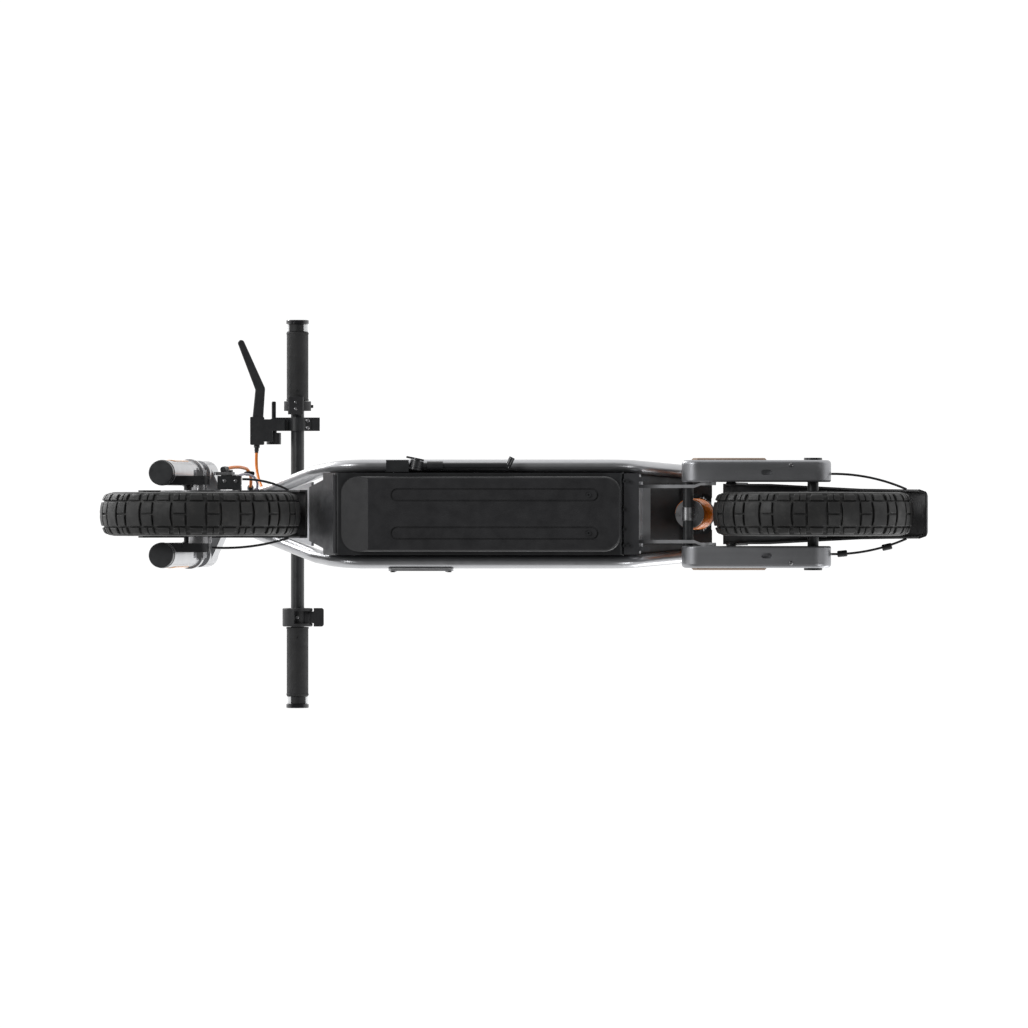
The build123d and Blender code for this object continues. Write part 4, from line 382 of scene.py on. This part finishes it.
def makeTyre(name, axleX, body, node):
    points, faces = [], []
    centre = Vector((axleX, 0, axle["height"]))

    def place(angle, distance, depth):
        y, r = skinAt(distance, depth)
        return centre + Vector((r * math.sin(angle), y, -r * math.cos(angle)))

    def addGrid(rows):
        first = len(points)
        width = len(rows[0])
        for row in rows:
            points.extend(row)
        for i in range(len(rows) - 1):
            for j in range(width - 1):
                a = first + i * width + j
                faces.append((a, a + 1, a + width + 1, a + width))

    # carcass
    span = sum(math.hypot(b[0] - a[0], b[1] - a[1]) for a, b in zip(tyreSkin, tyreSkin[1:]))
    columns, turns = tyre["columns"], tyre["turns"]
    stops = [span * (i / columns - 1) for i in range(2 * columns + 1)]

    def depthAt(distance):
        edge = abs(distance)
        if edge < tyre["grooveEdge"]:
            return tyre["grooveDepth"]
        if edge < tyre["grooveEnd"]:
            return tyre["grooveDepth"] * (tyre["grooveEnd"] - edge) / (tyre["grooveEnd"] - tyre["grooveEdge"])
        # moulding rings on the side wall
        return -tyre["ringHeight"] if any(low < edge < high for low, high in tyre["rings"]) else 0

    rows = []
    for i in range(turns + 1):
        angle = 2 * math.pi * i / turns
        rows.append([place(angle, d, depthAt(d)) for d in stops])
    addGrid(rows)

    def addBlock(start, end, low, high, waist=0.0, narrow=0.0):
        # start and end in metres round the tyre, low and high across it
        edge = 0.0008
        between = [low + (high - low) * i / 5 for i in range(1, 5)]
        acrossStops = [low, low + edge] + between + [high - edge, high]
        alongShares = [0, edge / (end - start), 0.35, 0.65, 1 - edge / (end - start), 1]
        grid = []
        for i, share in enumerate(alongShares):
            row = []
            for j, d in enumerate(acrossStops):
                t = (d - low) / (high - low)
                pinch = waist * (1 - (2 * t - 1) ** 2) + narrow * (t if low >= 0 else 1 - t) / 2
                s = start + pinch + (end - start - 2 * pinch) * share
                border = i in (0, 5) or j in (0, len(acrossStops) - 1)
                row.append((s / tyreSkin[0][1], d, 0.0007 if border else 0))
            grid.append(row)
        addGrid([[place(*p) for p in row] for row in grid])
        ring = grid[0] + [row[-1] for row in grid[1:]] + grid[-1][-2::-1] + [row[0] for row in grid[-2:0:-1]]
        ring.append(ring[0])
        addGrid([[place(*p) for p in ring], [place(a, d, tyre["grooveDepth"] + 0.0006) for a, d, _ in ring]])

    pitch = 2 * math.pi * tyreSkin[0][1] / tyre["repeats"]
    half, full, short = tyre["centreHalf"], tyre["fullLength"], tyre["halfLength"]
    for i in range(tyre["repeats"]):
        at = i * pitch
        addBlock(at - full / 2, at + full / 2, -half, half, tyre["waist"])
        middle = at + pitch / 2
        for low, high in ((tyre["splitGap"] / 2, half), (-half, -tyre["splitGap"] / 2)):
            addBlock(middle - short / 2, middle + short / 2, low, high)
        # shoulder lugs, one beside each centre block
        for k, spot in enumerate((at, middle)):
            long = tyre["lugLength"] if k == 0 else tyre["lugLength"] * 0.92
            for low, high in ((half + 0.0030, 0.0345), (-0.0345, -half - 0.0030)):
                if k == 0:
                    addBlock(spot - long / 2, spot + long / 2, low, high, narrow=tyre["lugNarrowing"])
                else:
                    gap = 0.0009
                    addBlock(spot - long / 2, spot - gap, low, high)
                    addBlock(spot + gap, spot + long / 2, low, high)
    piece = addMesh(name, points, faces, "tyre_rubber", body)
    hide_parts(node)
    return piece


makeTyre("front_tyre_tread", axle["front"], "front_wheel", "front_tyre")
makeTyre("rear_tyre_tread", axle["rear"], "rear_wheel", "rear_tyre")
print("tyres made")

# ---- fork ----
leg = {"ahead": 0.022, "across": 0.0626, "radius": 0.019, "bottom": 0.1179, "top": 0.3259}
strip = {"low": 0.172, "high": 0.282, "halfAngle": 24, "proud": 0.0012}
for side, word in ((1, "left"), (-1, "right")):
    middle = steerPoint(leg["ahead"], side * leg["across"], 0)
    points, faces = [], []
    columns, rows = 13, 24
    for depth in (strip["proud"], -0.0004):
        for i in range(rows + 1):
            share = i / rows
            # rounded ends
            reach = min(share, 1 - share) * (strip["high"] - strip["low"]) / 0.008
            fullness = math.sqrt(max(0, 1 - (1 - min(1, reach)) ** 2))
            for j in range(columns):
                spread = (2 * j / (columns - 1) - 1) * strip["halfAngle"] * (0.25 + 0.75 * fullness)
                angle = math.radians(spread)
                rim = 0.7 if j in (0, columns - 1) or i in (0, rows) else 1
                r = leg["radius"] + (depth * rim if depth > 0 else depth)
                out = Vector((0, side, 0)) * math.cos(angle) + steerAhead * math.sin(angle)
                rise = strip["low"] + (strip["high"] - strip["low"]) * share
                points.append(middle + out * r + steerUp * rise)
    layer = columns * (rows + 1)
    for i in range(rows):
        for j in range(columns - 1):
            a = i * columns + j
            faces.append((a, a + 1, a + columns + 1, a + columns))
    edge = list(range(columns)) + [i * columns + columns - 1 for i in range(1, rows + 1)]
    edge += list(range(layer - 2, layer - columns - 1, -1)) + [i * columns for i in range(rows - 1, 0, -1)]
    for a, b in zip(edge, edge[1:] + edge[:1]):
        faces.append((a, b, b + layer, a + layer))
    addMesh("leg_strip_" + word, points, faces, "amber_lens", "fork_lowers")
    # dust seal on the collar
    seal = steerPoint(leg["ahead"], side * leg["across"], leg["top"])
    addTurned(
        "leg_seal_" + word, seal, steerUp,
        [(0.0163, 0), (0.0205, 0), (0.0205, 0.0022), (0.0186, 0.0042), (0.0166, 0.0046), (0.0163, 0)],
        "black_seal", "fork_lowers",
    )
    # band at the leg's lower end
    foot = steerPoint(leg["ahead"], side * leg["across"], leg["bottom"])
    addTurned(
        "leg_band_" + word, foot, steerUp,
        [(0.0190, 0.0030), (0.0196, 0.0034), (0.0196, 0.0066), (0.0190, 0.0070)], "black_seal", "fork_lowers",
    )

# ---- lower cables: two runs each, held together by a clip halfway ----
cables = {
    "brake": {
        "radius": 0.0025, "skin": "orange_sleeve",
        "route": [
            (-36, 68.5, 195), (-44, 71, 217), (-53, 72, 246), (-60, 71.5, 280), (-65, 69.5, 315),
            (-68, 65, 350), (-69, 58.5, 385), (-68, 50.5, 420), (-66, 41, 455),
        ],
    },
    "sensor": {
        # the sensor lead's grey-lavender skin is a painted highlight standing in for the sheen on a dark
        # cable
        "radius": 0.0018, "skin": "grey_sleeve",
        "route": [
            (-53, 57, 193.5), (-59, 60, 222), (-65, 61.5, 256), (-71, 60.5, 292), (-76, 57, 330),
            (-79, 51.5, 368), (-79, 44.5, 405), (-75.5, 35.5, 442),
        ],
    },
}


def routePoint(place):
    return Vector((axle["front"] + place[0] / 1000, place[1] / 1000, place[2] / 1000))


for name, run in cables.items():
    route = [routePoint(p) for p in run["route"]]
    split = 4
    lower = addTube(name + "_run_low", route[: split + 1], run["radius"], run["skin"])
    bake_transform(lower)
    upper = addTube(name + "_run_high", route[split:], run["radius"], run["skin"])
    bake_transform(upper)
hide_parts("brake_cable")
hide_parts("sensor_lead")
print("fork and cables made")

clip = routePoint((-68.5, 62.5, 330))
clipParts = {"width": 0.007, "height": 0.009, "depth": 0.016}
points = []
for z in (-clipParts["height"] / 2, clipParts["height"] / 2):
    for i in range(24):
        angle = 2 * math.pi * i / 24
        x = math.copysign(abs(math.cos(angle)) ** 0.6, math.cos(angle)) * clipParts["depth"] / 2
        y = math.copysign(abs(math.sin(angle)) ** 0.6, math.sin(angle)) * clipParts["width"] / 2
        points.append(clip + Vector((x, y, z)))
faces = [(i, (i + 1) % 24, 24 + (i + 1) % 24, 24 + i) for i in range(24)]
faces += [tuple(range(23, -1, -1)), tuple(range(24, 48))]
addMesh("cable_clip", points, faces, "black_seal", "steering")

# cable of the brake lever, from the lever's stop down into the stem
leverRoute = [
    (67.4, 110, 1195), (68.4, 88, 1192), (66, 66, 1175), (59, 47, 1143), (50, 31, 1103), (39.5, 18, 1061),
    (25.5, 7.5, 1019),
]
leverPoints = [Vector((bar.x + x / 1000, y / 1000, z / 1000)) for x, y, z in leverRoute]
leverRun = addTube("lever_run", leverPoints, 0.0025, "orange_sleeve", "stem")
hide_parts("lever_cable")
brakeEnds = [routePoint(p) for p in cables["brake"]["route"]]
sensorEnds = [routePoint(p) for p in cables["sensor"]["route"]]
for name, end, towards, radius, body in (
    ("lever_ferrule_out", leverPoints[0], leverPoints[1], 0.0036, "stem"),
    ("lever_ferrule_in", leverPoints[-1], leverPoints[-2], 0.0038, "stem"),
    ("brake_ferrule", brakeEnds[0], brakeEnds[1], 0.0035, "fork_lowers"),
    ("sensor_ferrule", sensorEnds[0], sensorEnds[1], 0.0028, "fork_lowers"),
    ("brake_boot", brakeEnds[-1], brakeEnds[-2], 0.0038, "frame"),
    ("sensor_boot", sensorEnds[-1], sensorEnds[-2], 0.0030, "frame"),
):
    addTurned(
        name, end, towards - end,
        [
            (0.0010, 0), (radius, 0), (radius, 0.005), (radius * 0.86, 0.0065), (radius * 0.86, 0.009),
            (0.0010, 0.0095),
        ],
        "black_seal", body, sides=24,
    )

# ---- rear shock's spring ----
shockTop = Vector((-0.287, 0, 0.275))
shockEnd = Vector((-0.2645, 0, 0.150))
shockAxis = (shockEnd - shockTop).normalized()
coil = {
    "start": 0.0199, "end": 0.1041, "radius": 0.0205, "wire": 0.0034, "turns": 7,
    "endFlat": 0.035, "middleFlat": 0.02,
}


def makeCoil():
    axis, first, second = across(shockAxis)
    steps, ring = 220, 12
    rise = coil["end"] - coil["start"]
    points, faces, centres = [], [], []
    for i in range(steps + 1):
        t = i / steps
        angle = 2 * math.pi * coil["turns"] * t
        # the end turns lie flatter than the working ones
        eased = t + coil["endFlat"] * math.sin(4 * math.pi * t) / 2
        eased -= coil["middleFlat"] * math.sin(2 * math.pi * t)
        out = first * math.cos(angle) + second * math.sin(angle)
        centres.append(shockTop + axis * (coil["start"] + rise * eased) + out * coil["radius"])
    for i, centre in enumerate(centres):
        along = (centres[min(i + 1, steps)] - centres[max(i - 1, 0)]).normalized()
        up = axis - along * axis.dot(along)
        up.normalize()
        out = along.cross(up)
        for j in range(ring):
            angle = 2 * math.pi * j / ring
            points.append(centre + (up * math.sin(angle) + out * math.cos(angle)) * coil["wire"])
    for i in range(steps):
        for j in range(ring):
            k = (j + 1) % ring
            a, b = i * ring, (i + 1) * ring
            faces.append((a + j, a + k, b + k, b + j))
    faces.append(tuple(range(ring)))
    faces.append(tuple(reversed(range(steps * ring, (steps + 1) * ring))))
    return addMesh("spring_coil", points, faces, "orange_coat")


spring = makeCoil()
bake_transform(spring)
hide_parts("shock_spring")
print("spring made")

# ---- handlebar ----
barEnds = {"inner": 0.3026, "outer": 0.3150, "low": 0.0131, "high": 0.0172}
quarters = (
    (-52, "clear_lens", "front"), (38, "black_seal", "top"),
    (128, "clear_lens", "rear"), (218, "black_seal", "foot"),
)
for side, word in ((1, "left"), (-1, "right")):
    for start, skin, part in quarters:
        addTurned(
            "bar_window_" + part + "_" + word, bar, (0, side, 0),
            [
                (barEnds["low"], barEnds["inner"]), (barEnds["high"] - 0.0006, barEnds["inner"]),
                (barEnds["high"], barEnds["inner"] + 0.0008), (barEnds["high"], barEnds["outer"] - 0.0008),
                (barEnds["high"] - 0.0006, barEnds["outer"]), (barEnds["low"], barEnds["outer"]),
            ],
            skin, "stem", sides=20, start=start, sweep=89, closed=True,
        )
    # rings at both ends of the grip and the drain hole under it
    for d, wide in ((0.1890, 0.0030), (0.2990, 0.0026)):
        addTurned(
            "grip_ring_%s_%d" % (word, d * 1000), bar, (0, side, 0),
            [
                (0.0178, d - wide / 2), (0.0187, d - wide / 2 + 0.0005), (0.0187, d + wide / 2 - 0.0005),
                (0.0178, d + wide / 2),
            ],
            "grip_rubber", "stem",
        )
    plugAt = bar + Vector((0, side * 0.205, -0.0180))
    addScrew("grip_plug_" + word, plugAt, (0, 0, -1), 0.0022, "stem", "black_seal")

def roundedPlate(name, centre, alongX, alongY, length, width, corner, thick, skin, body, edge=0.0003):
    # flat plate with round corners, its upper rim eased, standing up along X cross Y
    up = alongX.cross(alongY).normalized()
    points, faces = [], []
    rings = [(0, 0), (0, thick - edge), (edge, thick)]
    for inset, height in rings:
        for quarter, (sx, sy) in enumerate(((1, 1), (-1, 1), (-1, -1), (1, -1))):
            for i in range(7):
                angle = math.pi / 2 * (quarter + i / 6)
                x = sx * (length / 2 - corner) + (corner - inset) * math.cos(angle)
                y = sy * (width / 2 - corner) + (corner - inset) * math.sin(angle)
                points.append(centre + alongX * x + alongY * y + up * height)
    for ring in range(2):
        for i in range(28):
            j = (i + 1) % 28
            faces.append((ring * 28 + i, ring * 28 + j, (ring + 1) * 28 + j, (ring + 1) * 28 + i))
    faces += [tuple(range(27, -1, -1)), tuple(range(56, 84))]
    return addMesh(name, points, faces, skin, body)


# ---- display and headlight ----
dash = {
    "ahead": 0.028, "along": 1.2489, "length": 0.0434, "width": 0.0614, "corner": 0.0078, "thick": 0.0011,
    "chargeBars": 4, "barLength": 0.0030, "barWidth": 0.0065,
}
glassAt = steerPoint(dash["ahead"], 0, dash["along"])
sideways = Vector((0, 1, 0))
roundedPlate(
    "display_glass", glassAt, steerAhead, sideways, dash["length"], dash["width"], dash["corner"],
    dash["thick"], "screen", "stem",
)
for i in range(dash["chargeBars"]):
    spot = steerPoint(dash["ahead"] - 0.0145, (i - 1.5) * 0.0090, dash["along"] + dash["thick"])
    roundedPlate(
        "charge_bar_%d" % i, spot, steerAhead, sideways, dash["barLength"], dash["barWidth"], 0.0010,
        0.0002, "amber_lens", "stem", 0.0001,
    )
# ring round the power button
addTurned(
    "button_ring", steerPoint(-0.006, 0, 1.2504), steerUp,
    [(0.0068, -0.0004), (0.0068, 0.0004), (0.0076, 0.0007), (0.0086, 0.0004), (0.0088, -0.0004)],
    "chrome", "stem",
)

lamp = {"x": 0.3942, "z": 1.1044, "width": 0.0414, "height": 0.0318, "corner": 0.0086, "thick": 0.0026}
lampAt = Vector((lamp["x"], 0, lamp["z"]))
roundedPlate(
    "lamp_lens", lampAt, sideways, Vector((0, 0, 1)), lamp["width"], lamp["height"], lamp["corner"],
    lamp["thick"], "clear_lens", "stem", 0.0006,
)
for i in range(7):
    # upright flutes on the lens
    roundedPlate(
        "lamp_flute_%d" % i, lampAt + Vector((lamp["thick"], (i - 3) * 0.0048, 0)), sideways,
        Vector((0, 0, 1)),
        0.0016, 0.0235, 0.0007, 0.0005, "clear_lens", "stem", 0.0002,
    )
print("display and headlight made")

# ---- wheels' valves, and the clips on the right rear stay ----
valve = {"ringRadius": 0.1010, "length": 0.0200, "across": 0.0}
for word, body, angle in (("front", "front_wheel", 200), ("rear", "rear_wheel", 160)):
    turn = math.radians(angle)
    outward = Vector((math.sin(turn), 0, math.cos(turn)))
    base = Vector((axle[word], valve["across"], axle["height"])) + outward * valve["ringRadius"]
    addTurned(
        "valve_" + word, base, -outward,
        [
            (0.0001, -0.004), (0.0052, -0.004), (0.0052, 0.0), (0.0034, 0.0022), (0.0031, 0.0100),
            (0.0037, 0.0104), (0.0037, 0.0180), (0.0031, 0.0195), (0.0001, valve["length"]),
        ],
        "black_seal", body, sides=20,
    )
stayClips = {
    "spots": ((-0.4990, -0.0602), (-0.5670, -0.0500)), "height": 0.1540, "radius": 0.0049, "length": 0.0150,
}
for i, (x, y) in enumerate(stayClips["spots"]):
    heading = Vector((-1, 0.10 + 0.12 * i, 0)).normalized()
    half, wide = stayClips["length"] / 2, stayClips["radius"]
    addTurned(
        "stay_clip_%d" % i, (x, y, stayClips["height"]), heading,
        [
            (0.0010, -half), (wide * 0.8, -half), (wide, -half + 0.001), (wide, half - 0.001),
            (wide * 0.8, half), (0.0010, half),
        ],
        "black_seal", "swingarm", sides=24,
    )
print("valves and clips made")

# ---- screws that hold the covers and clamps ----
# node it sits in, body, where it is looked for, the way it goes in, radius
up, right = Vector((0, 0, 1)), Vector((0, 1, 0))
screws = [
    ("brake_perch", "stem", (bar.x - 0.0175, 0.1430, 1.0), up, 0.0034),
    ("brake_perch", "stem", (bar.x - 0.0175, 0.1550, 1.0), up, 0.0034),
    ("throttle_housing", "stem", (bar.x, -0.1713, 1.0), up, 0.0030),
    ("switch_box", "stem", (bar.x + 0.0023, 0.1740, 1.0), up, 0.0024),
    ("switch_box", "stem", (bar.x + 0.0023, 0.1850, 1.0), up, 0.0024),
    ("brake_caliper", "fork_lowers", (0.4400, 0.0500, 0.1), up, 0.0030),
    ("brake_caliper", "fork_lowers", (0.4230, 0.0500, 0.1), up, 0.0030),
    ("rear_arms", "swingarm", (-0.4200, 0.0745, 0.05), up, 0.0032),
    ("rear_arms", "swingarm", (-0.4200, -0.0745, 0.05), up, 0.0032),
    ("headlight", "stem", (0.3850, 0.0150, 1.0), up, 0.0022),
    ("headlight", "stem", (0.3850, -0.0150, 1.0), up, 0.0022),
    ("side_guard", "frame", (0.1020, -0.2, 0.165), right, 0.0030),
    ("side_guard", "frame", (0.1810, -0.2, 0.165), right, 0.0030),
]
for i, (node, body, start, way, radius) in enumerate(screws):
    found, place, normal, _ = nodes[node].ray_cast(Vector(start), way)
    # only where the screw lands square on a surface
    if found and normal.dot(way) < -0.85:
        addScrew("screw_%s_%d" % (node, i), place, normal, radius, body)
    else:
        print("no flat place for the screw in", node, found, tuple(start))

# ---- studio ----
studio = {
    "worldUp": 1.06, "worldDown": 0.10, "darkBelow": -0.62, "brightAbove": -0.05,
    "keyPower": 120, "fillPower": 60, "floor": (0.80, 0.80, 0.80),
}
cameraData = bpy.data.cameras.new("camera")
camera = bpy.data.objects.new("camera", cameraData)
bpy.context.scene.collection.objects.link(camera)
cameraData.sensor_width = 36
cameraData.lens = 264.9
cameraData.clip_end = 60
camera.location = (0, 0, -11.345)
camera.rotation_euler = (0, math.pi, 0)
bpy.context.scene.camera = camera

world = bpy.data.worlds.new("studio")
bpy.context.scene.world = world
world.use_nodes = True
sky = world.node_tree
background = sky.nodes["Background"]
background.inputs["Color"].default_value = (1, 1, 1, 1)
where = sky.nodes.new("ShaderNodeTexCoord")
split = sky.nodes.new("ShaderNodeSeparateXYZ")
shade = sky.nodes.new("ShaderNodeMapRange")
shade.inputs["From Min"].default_value = studio["darkBelow"]
shade.inputs["From Max"].default_value = studio["brightAbove"]
shade.inputs["To Min"].default_value = studio["worldDown"]
shade.inputs["To Max"].default_value = studio["worldUp"]
sky.links.new(where.outputs["Generated"], split.inputs["Vector"])
sky.links.new(split.outputs["Z"], shade.inputs["Value"])
sky.links.new(shade.outputs["Result"], background.inputs["Strength"])


def addLight(name, place, target, size, power):
    light = bpy.data.lights.new(name, "AREA")
    light.shape = "DISK"
    light.size = size
    light.energy = power
    holder = bpy.data.objects.new(name, light)
    bpy.context.scene.collection.objects.link(holder)
    holder.location = place
    holder.rotation_euler = (Vector(target) - Vector(place)).to_track_quat("-Z", "Y").to_euler()
    return holder


addLight("key", (3.0, 2.2, 3.6), (0, 0, 0.3), 2.2, studio["keyPower"])
addLight("fill", (-2.6, -3.0, 2.4), (0, 0, 0.4), 2.6, studio["fillPower"])
addLight("under_front", (3.2, 1.4, -2.6), (0.2, 0, 0.3), 1.6, studio["keyPower"] * 0.55)
addLight("under_back", (-2.8, -1.8, -2.8), (-0.2, 0, 0.2), 1.8, studio["fillPower"] * 0.7)

# one-sided floor: seen from above it is pale, from below it lets the view through
floorMesh = bpy.data.meshes.new("floor")
floorMesh.from_pydata([(-9, -9, 0), (9, -9, 0), (9, 9, 0), (-9, 9, 0)], [], [(0, 1, 2, 3)])
floor = bpy.data.objects.new("floor", floorMesh)
bpy.context.scene.collection.objects.link(floor)
pale = bpy.data.materials.new("floor_paint")
pale.use_nodes = True
paint = pale.node_tree
surface = paint.nodes["Principled BSDF"]
surface.inputs["Roughness"].default_value = 0.7
grain = paint.nodes.new("ShaderNodeTexNoise")
grain.inputs["Scale"].default_value = 3
drift = paint.nodes.new("ShaderNodeMapRange")
drift.inputs["To Min"].default_value = studio["floor"][0] * 0.98
drift.inputs["To Max"].default_value = studio["floor"][0] * 1.02
paint.links.new(grain.outputs["Fac"], drift.inputs["Value"])
paint.links.new(drift.outputs["Result"], surface.inputs["Base Color"])
facing = paint.nodes.new("ShaderNodeNewGeometry")
clear = paint.nodes.new("ShaderNodeBsdfTransparent")
mix = paint.nodes.new("ShaderNodeMixShader")
paint.links.new(facing.outputs["Backfacing"], mix.inputs["Fac"])
paint.links.new(surface.outputs["BSDF"], mix.inputs[1])
paint.links.new(clear.outputs["BSDF"], mix.inputs[2])
paint.links.new(mix.outputs["Shader"], paint.nodes["Material Output"].inputs["Surface"])
floorMesh.materials.append(pale)
for ray in ("diffuse", "glossy", "transmission", "shadow"):
    setattr(floor, "visible_" + ray, False)

scene = bpy.context.scene
scene.view_settings.view_transform = "Standard"
scene.view_settings.look = "None"
scene.view_settings.exposure = 0
print("studio made")
